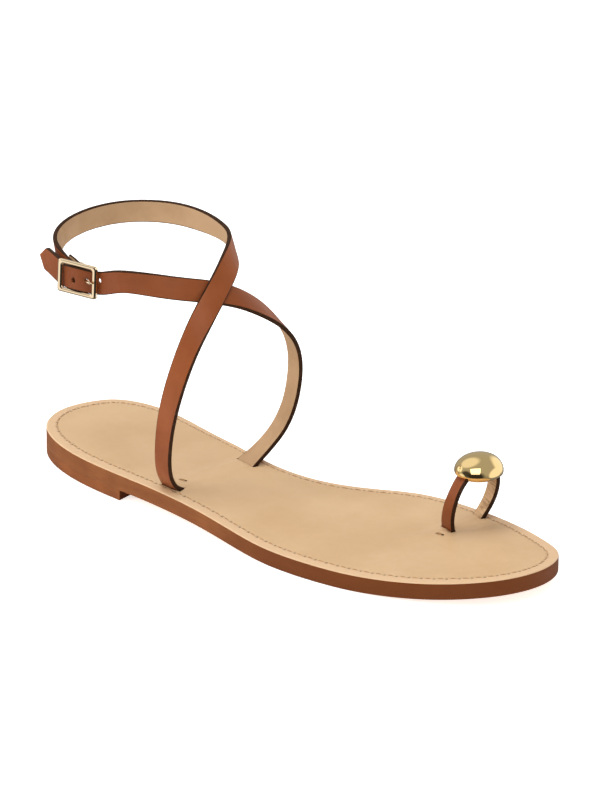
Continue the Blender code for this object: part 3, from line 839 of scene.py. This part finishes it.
def inset_line(edge, inward, inset):
    """A line inside the edge; on the inner side it keeps closer to the edge."""
    inner = smooth(0.0, INNER_FADE, edge[:, 1] - middle_line(edge[:, 0]))
    share = 1 + (np.interp(edge[:, 0], *zip(*INNER_STITCHES)) - 1) * inner
    return edge + inward * (INSOLE_CORNER + (inset - INSOLE_CORNER) * share)[:, None]


def pit_share(count, inset):
    """How much of a needle hole lies at each point of a ring at an inset."""
    step = running_length(outline_loop())[-1] / count
    place = (np.arange(count) + STITCH_DIVISIONS / 2) % STITCH_DIVISIONS - STITCH_DIVISIONS / 2
    return np.exp(-(place * step / PIT_RADIUS) ** 2 - ((inset - STITCH_INSET) / PIT_RADIUS) ** 2)


def make_insole(finishes, slot_tools):
    """The pale sock with its stitch channel, needle holes, slots and rounded edge."""
    count = STITCH_COUNT * STITCH_DIVISIONS
    edge, inward = evenly(outline_loop(), count)
    levels = []
    pits = []
    margins = []

    def add(flat, heights, slot, pit=0.0, margin=1.0):
        levels.append((raised(flat, heights), slot))
        pits.append(np.broadcast_to(pit, count))
        margins.append(np.broadcast_to(margin, count))

    for row in fill_rows(edge, SPINE_ENDS)[::-2] + [edge]:
        add(row, insole_top(row[:, 0]) - INSOLE_THICKNESS, 1)
    rim = insole_top(edge[:, 0]) - MARGIN_DROP
    add(edge, rim - INSOLE_CORNER, 1)
    for level, rise in arc(INSOLE_CORNER, *INSOLE_CORNER_TURN, INSOLE_CORNER_POINTS) - INSOLE_CORNER:
        add(edge - inward * level, rim + rise, 0)
    half = CHANNEL_HALF_WIDTH
    channel = tuple(STITCH_INSET + half * share for share in CHANNEL_SHARES)
    for inset in (INSOLE_CORNER,) + MARGIN_INSETS + channel + FIELD_INSETS:
        flat = inset_line(edge, inward, inset)
        dip = CHANNEL_DEPTH * math.exp(-((inset - STITCH_INSET) / half) ** 2)
        dip += MARGIN_DROP * float(1 - smooth(0.0, STITCH_INSET, inset))
        pit = pit_share(count, inset)
        heights = insole_top(flat[:, 0]) + ridge_heights(flat) - dip - PIT_DEPTH * pit
        add(flat, heights, 0, pit, float(1 - smooth(STITCH_INSET - half, STITCH_INSET + half, inset)))
    for row in fill_rows(flat, SPINE_ENDS):
        add(row, insole_top(row[:, 0]) + ridge_heights(row), 0, 0.0, 0.0)
    piece = stacked("insole_sock", levels, finishes)
    points = np.vstack([ring for ring, _ in levels])
    paint_masks(piece, points, {"pit": np.concatenate(pits), "margin": np.concatenate(margins)})
    cut(piece, slot_tools)
    dress(piece, "insole_leather", "insole")


def paint_masks(piece, points, masks):
    """Stores values that belong to the given points as attributes of a piece's own points."""
    tree = KDTree(len(points))
    for i, place in enumerate(in_frame(points)):
        tree.insert(place, i)
    tree.balance()
    order = [tree.find(vertex.co)[1] for vertex in piece.data.vertices]
    for name, values in masks.items():
        attribute = piece.data.attributes.new(name, "FLOAT", "POINT")
        attribute.data.foreach_set("value", np.asarray(values, float)[order])


def make_outsole(edge_finish, under_finish):
    """The sole leather: a burnished edge and a plain underside."""
    edge, inward = evenly(outline_loop(), SOLE_POINTS)
    eased = smooth(HEEL_BREAST_X - HEEL_SEAM_FADE, HEEL_BREAST_X + HEEL_SEAM_FADE, edge[:, 0])
    eased = HEEL_SEAM + (1 - HEEL_SEAM) * eased
    inside = fill_rows(edge + inward * SOLE_LOWER_EDGE[0][0], SPINE_ENDS)
    levels = [(raised(row, sole_floor(row[:, 0])), 1) for row in inside[::-1]]
    for inset, lift, slot in SOLE_LOWER_EDGE:
        flat = edge + inward * (inset * eased)[:, None]
        levels.append((raised(flat, sole_floor(flat[:, 0]) + lift * eased), slot))
    low = sole_floor(edge[:, 0]) + SOLE_LOWER_EDGE[-1][1]
    high = insole_top(edge[:, 0]) - INSOLE_THICKNESS
    levels += [(raised(edge, low + (high - low) * share), 0) for share in SOLE_SIDE_SHARES]
    for row in fill_rows(edge, SPINE_ENDS)[1::2]:
        levels.append((raised(row, insole_top(row[:, 0]) - INSOLE_THICKNESS), 0))
    piece = stacked("sole_leather", levels, (edge_finish, under_finish))
    dress(piece, "sole_leather", "outsole")


def heel_loop():
    """Outline of the heel: the sole's outline as far as the straight front."""
    line = outline_loop()[:-1]
    toe = int(np.argmax(line[:, 0]))
    outer = line[:toe]
    inner = line[toe:]
    outer = outer[outer[:, 0] < HEEL_BREAST_X]
    inner = inner[inner[:, 0] < HEEL_BREAST_X]
    front = np.linspace(outer[-1], inner[0], HEEL_FRONT_POINTS)[1:-1]
    front[:, 0] = HEEL_BREAST_X
    return np.vstack((outer, front, inner, line[:1]))


def make_heel(edge_finish, under_finish, breast_finish):
    """The heel lift, with a fine step where it meets the sole."""
    edge, inward = evenly(heel_loop(), HEEL_POINTS)
    inside = fill_rows(edge + inward * HEEL_PROFILE[0][0], HEEL_SPINE_ENDS)
    levels = [(raised(row, 0.0), 1) for row in inside[::-1]]
    levels += [(raised(edge + inward * inset, lift), slot) for inset, lift, slot in HEEL_PROFILE]
    levels += [(raised(row, HEEL_HEIGHT), 0) for row in fill_rows(edge, HEEL_SPINE_ENDS)[1::2]]
    piece = stacked("heel_stack", levels, (edge_finish, under_finish, breast_finish))
    # Faces towards the toe get the breast's finish: its dark paint and painted shade
    for face in piece.data.polygons:
        if face.normal.x > BREAST_FACING:
            face.material_index = BREAST_FINISH
    dress(piece, "sole_leather", "heel_lift")


def make_stitches(finish):
    """A thread that dips into the needle holes, one stretch for each stitch."""
    pitch = THREAD_RINGS * 2
    fine, inward = evenly(outline_loop(), STITCH_COUNT * pitch)
    place = np.arange(len(fine)) / pitch % 1.0
    path = inset_line(fine, inward, STITCH_INSET + STITCH_SLANT * (1 - 2 * place))
    arch = np.sin(math.pi * np.linspace(0.0, 1.0, THREAD_RINGS)) ** THREAD_ARCH_POWER
    radius = THREAD_RADIUS * (THREAD_END_SHARE + (1 - THREAD_END_SHARE) * arch)
    rise = np.array((0.0, 0.0, 1.0))
    points = []
    faces = []
    for start in range(0, len(path), pitch):
        picks = np.linspace(start + THREAD_GAP, start + pitch - THREAD_GAP, THREAD_RINGS).round().astype(int)
        picks %= len(path)
        ground = insole_top(path[picks, 0]) - CHANNEL_DEPTH - THREAD_SUNK
        middle = raised(path[picks], ground + THREAD_LIFT * arch + ridge_heights(path[picks]))
        aside = raised(inward[picks], 0.0)
        faces += tube_faces(len(points), THREAD_RINGS, THREAD_SIDES)
        for i in range(THREAD_RINGS):
            for turn in turns(THREAD_SIDES):
                points.append(middle[i] + radius[i] * (math.cos(turn) * aside[i] + math.sin(turn) * rise))
    piece = add_mesh("insole_stitches", points, faces, (finish,), angle=70.0)
    dress(piece, "insole_leather")


# Straps

def across(vectors, along):
    """The part of each vector that stands square to the strap's run."""
    return unit(vectors - (vectors * along).sum(axis=1, keepdims=True) * along)


def strap_frame(rows, step):
    """Middle line and width direction of a strap whose outer face has a heading and a tilt at each row."""
    run = spline(rows, step)
    middle = run[:, :3]
    along = unit(np.gradient(middle, axis=0))
    face = across(heading_vector(run[:, 3], run[:, 4]), along)
    return middle, np.cross(face, along)


def edge_rows(aside, lift, corner, first, last):
    """A rounded corner of a strap's section, between two angles."""
    return [(aside + x, lift + z, PAINTED_EDGE) for x, z in arc(corner, first, last, STRAP_CORNER_POINTS)]


def strap_section(half_width, half_thick):
    """Points round a strap's section as across, out and the finish of the face that follows."""
    corner = min(STRAP_CORNER, STRAP_CORNER_SHARE * half_thick, STRAP_CORNER_SHARE * half_width)
    flat = half_width - corner
    lift = half_thick - corner
    face = []
    for share in np.linspace(1.0, -1.0, STRAP_FACE_POINTS):
        face.append((flat * share, half_thick + STRAP_CROWN * (1 - share * share), OUTER_FACE))
    lining = [(aside, -half_thick, LINING_FACE) for aside in np.linspace(-flat, flat, STRAP_LINING_POINTS)]
    for rows in (face, lining):
        rows[-1] = rows[-1][:2] + (PAINTED_EDGE,)
    left = edge_rows(-flat, lift, corner, 120, 180) + edge_rows(-flat, -lift, corner, 180, 240)
    right = edge_rows(flat, -lift, corner, 300, 360) + edge_rows(flat, lift, corner, 0, 60)
    return face + left + lining + right


def strap_piece(name, middle, width_way, half_width, half_thick, finishes, shape=None):
    """A strap along its middle line; shape may move a section's points out or in."""
    along = unit(np.gradient(middle, axis=0))
    width_way = across(width_way, along)
    face = np.cross(along, width_way)
    count = len(middle)
    half_width = np.broadcast_to(half_width, count)
    half_thick = np.broadcast_to(half_thick, count)
    length = running_length(middle)
    points = []
    for i in range(count):
        for aside, out, slot in strap_section(half_width[i], half_thick[i]):
            if shape is not None:
                out += shape(length[i], aside / half_width[i], slot)
            points.append(middle[i] + width_way[i] * aside + face[i] * out)
    section = strap_section(half_width[0], half_thick[0])
    sides = len(section)
    finish = [PAINTED_EDGE] * 2 + [row[2] for row in section] * (count - 1)
    return add_mesh(name, points, tube_faces(0, count, sides), finishes, finish, angle=55.0)


def buckle_point(forward, out, up=0.0):
    """Shoe coordinates of a point that is given from the middle of the buckle's frame."""
    tilt = math.radians(BUCKLE_TILT)
    lean = math.radians(BUCKLE_LEAN)
    inwards = up * math.sin(lean) - out * math.cos(lean)
    rise = up * math.cos(lean) + out * math.sin(lean)
    x = forward * math.cos(tilt) - rise * math.sin(tilt)
    z = forward * math.sin(tilt) + rise * math.cos(tilt)
    return BUCKLE_CENTRE[0] + x, BUCKLE_CENTRE[1] + inwards, BUCKLE_CENTRE[2] + z


def strap_rows(upright_rows, rows_at_buckle):
    """Rows of a strap that stands upright and then leans with the buckle; a tilt ends each row."""
    rows = [row + (0.0,) for row in upright_rows]
    for forward, out, up, heading in rows_at_buckle:
        rows.append(buckle_point(forward, out, up) + (heading, BUCKLE_LEAN))
    return rows


def length_left(middle):
    length = running_length(middle)
    return length[-1] - length


def outer_strap_run():
    """Middle line, width direction and half thickness of the strap that is folded round the centre bar."""
    middle, width_way = strap_frame(strap_rows(OUTER_STRAP, OUTER_STRAP_AT_BUCKLE), STRAP_STEP)
    bar_to_middle = CENTRE_BAR_RADIUS + CLEARANCE + FOLD_THICKNESS / 2
    turn = arc(bar_to_middle, *FOLD_TURN, FOLD_POINTS)
    fold = [buckle_point(forward, out - CENTRE_BAR_BACK) for forward, out in turn]
    back = [fold[-1]] + [buckle_point(*row) for row in FOLD_RETURN]
    fold += [tuple(point) for point in spline(back, STRAP_STEP)[1:]]
    upright = np.array(buckle_point(0.0, 0.0, 1.0)) - np.array(buckle_point(0.0, 0.0))
    half = np.interp(length_left(middle), FOLD_TAPER[::-1], (FOLD_THICKNESS / 2, STRAP_THICKNESS / 2))
    middle = np.vstack((middle, fold))
    sign = math.copysign(1.0, float(width_way[-1] @ upright))
    width_way = np.vstack((width_way, np.tile(sign * upright, (len(fold), 1))))
    half = np.concatenate((half, np.full(len(fold), FOLD_THICKNESS / 2)))
    return middle, width_way, half


def inner_strap_run():
    """Middle line, width direction and half width of the strap that runs through the buckle to a point."""
    middle, width_way = strap_frame(strap_rows(INNER_STRAP, INNER_STRAP_AT_BUCKLE), STRAP_STEP)
    half = np.interp(length_left(middle), (0.0, TIP_LENGTH), (TIP_HALF_WIDTH, STRAP_WIDTH / 2))
    return middle, width_way, half


def loop_run():
    middle = spline(TOE_LOOP, LOOP_STEP)
    way = heading_vector(np.full(len(middle), LOOP_WIDTH_HEADING), LOOP_WIDTH_TILT)
    return middle, way


def slot_tool(name, middle, width_way, half_width, finish):
    """The end of a strap, a little larger all round."""
    used = running_length(middle) <= SLOT_FOLLOWS
    along = unit(np.gradient(middle, axis=0))
    path = np.vstack((middle[0] - along[0] * CLEARANCE, middle[used]))
    ways = np.vstack((width_way[:1], width_way[used]))
    half_thick = STRAP_THICKNESS / 2 + SLOT_GAP
    return strap_piece(name, path, ways, half_width + SLOT_GAP, half_thick, (finish,) * 3)


def make_slot_tools(finish, dent_finish, hole_finish):
    """Tools for the four slots and the two pin marks."""
    outer_middle, outer_way, _ = outer_strap_run()
    inner_middle, inner_way, _ = inner_strap_run()
    loop_middle, loop_way = loop_run()
    ends = (
        ("outer_slot", outer_middle, outer_way, STRAP_WIDTH / 2),
        ("inner_slot", inner_middle, inner_way, STRAP_WIDTH / 2),
        ("loop_slot_outer", loop_middle, loop_way, LOOP_WIDTH / 2),
        ("loop_slot_inner", loop_middle[::-1], loop_way[::-1], LOOP_WIDTH / 2),
    )
    tools = [slot_tool(name, middle, way, half, finish) for name, middle, way, half in ends]
    ahead = heading_vector(PIN_HEADING)
    spin = np.column_stack((ahead, heading_vector(PIN_HEADING + 90.0), (0.0, 0.0, 1.0)))
    points, faces = ball(PIN_SEGMENTS, PIN_RINGS)
    for i, (x, y) in enumerate(PIN_MARKS):
        centre = np.array((x, y, insole_top(x) + float(ridge_heights(np.array([(x, y)]))[0])))
        dent = points * PIN_DENT_AXES @ spin.T + centre
        hole = points * PIN_HOLE_AXES @ spin.T + centre + PIN_HOLE_AHEAD * ahead
        tools.append(add_mesh(f"pin_dent_{i}", dent, faces, (dent_finish,)))
        tools.append(add_mesh(f"pin_hole_{i}", hole, faces, (hole_finish,)))
    return tools


def ball(segments, rings):
    """Points and faces of a ball of radius one."""
    points = [(0.0, 0.0, -1.0)]
    for level in range(1, rings):
        tilt = math.pi * level / rings - math.pi / 2
        for turn in turns(segments):
            points.append((math.cos(tilt) * math.cos(turn), math.cos(tilt) * math.sin(turn), math.sin(tilt)))
    points.append((0.0, 0.0, 1.0))
    top = len(points) - 1
    last = 1 + (rings - 2) * segments
    faces = [(0, 1 + (k + 1) % segments, 1 + k) for k in range(segments)]
    for level in range(rings - 2):
        faces += ring_faces(1 + level * segments, 1 + (level + 1) * segments, segments)
    faces += [(top, last + k, last + (k + 1) % segments) for k in range(segments)]
    return np.array(points), faces


def hole_tool(name, forward, out, up, finish):
    """A round punch that stands square to the buckle's frame."""
    points = []
    for depth in (out - HOLE_DEPTH / 2, out + HOLE_DEPTH / 2):
        for x, z in arc(HOLE_DIAMETER / 2, 0.0, 360.0, HOLE_SIDES + 1)[:-1]:
            points.append(buckle_point(forward + x, depth, up + z))
    return add_mesh(name, points, tube_faces(0, 2, HOLE_SIDES), (finish,))


def fold_slot_tool(finish):
    """A box where the prong passes through the fold."""
    reach = CENTRE_BAR_RADIUS + 2 * CLEARANCE + 2 * PRONG_RADIUS + FOLD_THICKNESS
    outs = (-CENTRE_BAR_BACK - reach - FOLD_SLOT_SPARE, FOLD_SLOT_OUT)
    ups = (-FOLD_SLOT_WIDTH / 2, FOLD_SLOT_WIDTH / 2)
    points = [buckle_point(forward, out, up) for forward in (-reach, reach) for out in outs for up in ups]
    faces = [(0, 1, 3, 2), (4, 6, 7, 5), (0, 4, 5, 1), (2, 3, 7, 6), (0, 2, 6, 4), (1, 5, 7, 3)]
    return add_mesh("fold_slot", points, faces, (finish,))


def make_outer_strap(finishes):
    """The ankle strap that is folded round the buckle's bar."""
    middle, way, half = outer_strap_run()
    outer = strap_piece("outer_strap", middle, way, STRAP_WIDTH / 2, half, finishes)
    cut(outer, [fold_slot_tool(finishes[PAINTED_EDGE])])
    dress(outer, "strap_leather", "upper")


def make_inner_strap(finishes, punched):
    """The ankle strap that is punched and ends in a point."""
    middle, way, half = inner_strap_run()
    inner = strap_piece("inner_strap", middle, way, half, STRAP_THICKNESS / 2, finishes)
    rows = np.array(INNER_STRAP_AT_BUCKLE[::-1])
    tools = []
    for i, (forward, up) in enumerate(STRAP_HOLES):
        out = float(np.interp(forward, rows[:, 0], rows[:, 1]))
        tools.append(hole_tool(f"punch_{i}", forward, out, up, punched))
    cut(inner, tools)
    dress(inner, "strap_leather", "upper")


def make_toe_loop(finishes):
    """The narrow loop, with cross wrinkles in its lining."""
    def wrinkles(length, aside, slot):
        if slot != LINING_FACE:
            return 0.0
        sway = WRINKLE_SWAY * math.sin(WRINKLE_SWAY_RATE * length)
        wave = math.sin(2 * math.pi * length / WRINKLE_PITCH + sway)
        return WRINKLE_DEPTH * wave * (1 - aside * aside)

    middle, way = loop_run()
    loop = strap_piece("toe_strap", middle, -way, LOOP_WIDTH / 2, STRAP_THICKNESS / 2, finishes, wrinkles)
    dress(loop, "strap_leather", "toe_loop")


# Metal

def make_bead(finish):
    """The pebble, whose inner end comes down over the loop as a narrower shoulder."""
    points, faces = ball(BEAD_SEGMENTS, BEAD_RINGS)
    x, y = (points[:, :2] * BEAD_HALF_AXES).T
    z = points[:, 2] * np.where(points[:, 2] > 0, BEAD_DOME, BEAD_UNDERSIDE)
    inner = np.clip(points[:, 1], 0.0, None) ** 2
    under = (1 - points[:, 2]) / 2
    shaped = np.column_stack((x * (1 - SHOULDER_NARROW * inner * under), y + SHOULDER_REACH * inner,
                              z - SHOULDER_DROP * inner * under))
    roll = math.radians(BEAD_ROLL)
    level, rise = math.cos(roll), math.sin(roll)
    spin = np.array(((1.0, 0.0, 0.0), (0.0, level, -rise), (0.0, rise, level)))
    piece = add_mesh("gold_bead", shaped @ spin.T + BEAD_CENTRE, faces, (finish,), angle=80.0)
    dress(piece, "gold_metal", "toe_bead")


def rounded_rectangle(length, height, radius):
    flat = np.array((length / 2 - radius, height / 2 - radius))
    corners = []
    for side_x, side_z, start in ((1, 1, 0), (-1, 1, 90), (-1, -1, 180), (1, -1, 270)):
        corners.append(flat * (side_x, side_z) + arc(radius, start, start + 90, BUCKLE_CORNER_STEPS + 1))
    return np.vstack(corners)


def rod(path, square_way, radius):
    """Points and faces of a round bar; path and square_way are given from the buckle's frame."""
    path = np.array(path, float)
    radius = np.broadcast_to(radius, len(path))
    along = unit(np.gradient(path, axis=0))
    aside = np.cross(along, square_way)
    points = []
    for i in range(len(path)):
        for turn in turns(ROD_SIDES):
            spoke = math.cos(turn) * np.array(square_way) + math.sin(turn) * aside[i]
            points.append(buckle_point(*(path[i] + radius[i] * spoke)))
    return points, tube_faces(0, len(path), ROD_SIDES)


def make_buckle(finish):
    """The bevelled frame with its centre bar."""
    points = []
    for share, out in BUCKLE_PROFILE:
        radius = BUCKLE_CORNER + (WINDOW_CORNER - BUCKLE_CORNER) * share
        length = BUCKLE_LENGTH - 2 * share * BUCKLE_BAR
        height = BUCKLE_HEIGHT - 2 * share * BUCKLE_RAIL
        points += [buckle_point(x, out, z) for x, z in rounded_rectangle(length, height, radius)]
    levels = len(BUCKLE_PROFILE)
    size = len(points) // levels
    faces = []
    for level in range(levels):
        faces += ring_faces(level * size, (level + 1) % levels * size, size)
    rail = (BUCKLE_HEIGHT - BUCKLE_RAIL) / 2
    bend = arc(CENTRE_BAR_BEND, 0.0, 90.0, BEND_POINTS) - CENTRE_BAR_BEND
    side = [(rail, 0.0)] + [(rail + up, CENTRE_BAR_BACK + back) for up, back in bend]
    path = [(0.0, -back, up) for up, back in side] + [(0.0, -back, -up) for up, back in side[::-1]]
    bar_points, bar_faces = rod(path, (1.0, 0.0, 0.0), CENTRE_BAR_RADIUS)
    start = len(points)
    faces += [tuple(start + i for i in face) for face in bar_faces]
    frame_piece = add_mesh("buckle_gold", points + bar_points, faces, (finish,), angle=28.0)
    dress(frame_piece, "gold_metal", "buckle_frame")


def make_prong(finish):
    """The pin, hooked round the centre bar and lying on the front of the frame."""
    hook = CENTRE_BAR_RADIUS + CLEARANCE + PRONG_RADIUS
    turn = arc(hook, PRONG_LEAVES_AT - PRONG_WRAP, PRONG_LEAVES_AT, PRONG_WRAP_POINTS)
    path = [(forward, out - CENTRE_BAR_BACK, 0.0) for forward, out in turn]
    lead = [path[-1]] + [(forward, out, 0.0) for forward, out in PRONG_PATH]
    path += [tuple(point) for point in spline(lead, PRONG_STEP)[1:]]
    left = length_left(np.array(path))
    radius = PRONG_RADIUS * np.interp(left, *zip(*PRONG_TAPER))
    prong = add_mesh("prong_gold", *rod(path, (0.0, 0.0, 1.0), radius), (finish,), angle=60.0)
    dress(prong, "gold_metal", "buckle_prong")


# Stage

def room_way(bearing, elevation):
    """A direction from the part, by its bearing and elevation."""
    return heading_vector(CAMERA_AZIMUTH - 90.0 + bearing, elevation)


def make_camera():
    """The camera of the photograph."""
    back = room_way(0.0, CAMERA_ELEVATION)
    level = room_way(90.0, 0.0)
    roll = math.radians(CAMERA_ROLL)
    right = math.cos(roll) * level + math.sin(roll) * np.cross(back, level)
    lens = bpy.data.cameras.new("photo_camera")
    lens.sensor_fit = "VERTICAL"
    lens.sensor_height = SENSOR
    lens.lens = CAMERA_FOCAL_PIXELS / IMAGE_LONG_SIDE * SENSOR
    lens.clip_start, lens.clip_end = CAMERA_CLIP
    camera = add_object("photo_camera", lens)
    place = in_frame(np.array(CAMERA_TARGET) + back * CAMERA_DISTANCE)
    camera.matrix_world = turned((right, np.cross(back, right), back), place)
    bpy.context.scene.camera = camera


def add_light(name, place, size, power, mirrored):
    """A soft box light that faces the shoe; its place is in metres."""
    lamp = bpy.data.lights.new(name, "AREA")
    lamp.shape = "RECTANGLE"
    lamp.size, lamp.size_y = size
    lamp.energy = power
    made = add_object(name, lamp)
    made.visible_glossy = mirrored
    back = unit(place - np.array(LIGHT_AIM))
    side = unit(np.cross((0.0, 0.0, 1.0), back))
    made.matrix_world = turned((side, np.cross(back, side), back), place)


def make_room():
    """A grey room with brighter and darker zones, so that the gold has something to mirror."""
    world = bpy.data.worlds.new("studio")
    world.use_nodes = True
    bpy.context.scene.world = world
    tree = world.node_tree
    where = tree.nodes.new("ShaderNodeTexCoord")
    level = (ROOM_LEVEL,) * 3
    for bearing, elevation, inner, outer, brightness in ROOM_ZONES:
        dot = tree.nodes.new("ShaderNodeVectorMath")
        dot.operation = "DOT_PRODUCT"
        tree.links.new(where.outputs["Generated"], dot.inputs[0])
        dot.inputs[1].default_value = room_way(bearing, elevation)
        low, high = (math.cos(math.radians(angle)) for angle in (outer, inner))
        near = between(tree, dot.outputs["Value"], low, high)
        level = mixed(tree, near, level, (brightness,) * 3)
    tree.links.new(level, tree.nodes["Background"].inputs["Color"])


def make_stage():
    """A pale floor, the room and the soft boxes."""
    pale = (*PALE_FLOOR, 1.0)
    constants = {"Base Color": pale, "Roughness": FLOOR_ROUGHNESS}
    constants |= {"Emission Color": pale, "Emission Strength": FLOOR_GLOW}
    floor_finish = base_material("pale_floor", constants)[0]
    half = FLOOR_HALF
    corners = [(-half, -half, 0.0), (half, -half, 0.0), (half, half, 0.0), (-half, half, 0.0)]
    mesh = bpy.data.meshes.new("floor")
    mesh.from_pydata(corners, [], [(0, 1, 2, 3)])
    mesh.materials.append(floor_finish)
    floor = add_object("floor", mesh)
    floor.visible_glossy = False
    make_room()
    for name, bearing, elevation, distance, size, power, mirrored in SOFT_BOXES:
        add_light(name, room_way(bearing, elevation) * distance, size, power, mirrored)
    view = bpy.context.scene.view_settings
    view.view_transform = "Standard"
    view.look = "None"


def main():
    skins = {row[0]: leather(*row) for row in LEATHERS}
    darken_near_buckle_with_painted_shade(skins["cognac"])
    tint_by_masks(skins["insole_top"])
    paint_wrinkle_shade(skins["loop_lining"])
    sole_edge = sole_edge_leather("sole_edge", SOLE_EDGE, SOLE_EDGE_DEEP, SOLE_EDGE_FORE_SHADE)
    heel_edge = sole_edge_leather("heel_edge", HEEL_EDGE, SOLE_EDGE_DEEP)
    strap_finishes = (skins["cognac"], edge_paint(), skins["lining"])
    buckle_gold = gold("buckle_gold", BUCKLE_GOLD, 0.12, 0.01)
    make_outsole(sole_edge, skins["sole_under"])
    make_heel(heel_edge, skins["sole_under"], skins["heel_breast_paint_and_shade"])
    slot_tools = make_slot_tools(skins["slot_brown"], skins["pin_dent"], skins["pin_hole"])
    make_insole((skins["insole_top"], sole_edge), slot_tools)
    make_stitches(thread())
    make_outer_strap(strap_finishes)
    make_inner_strap(strap_finishes, skins["punched_leather"])
    make_toe_loop(strap_finishes[:2] + (skins["loop_lining"],))
    make_bead(gold("bead_gold", BEAD_GOLD, 0.05, 0.05))
    make_buckle(buckle_gold)
    make_prong(buckle_gold)
    make_camera()
    make_stage()


main()
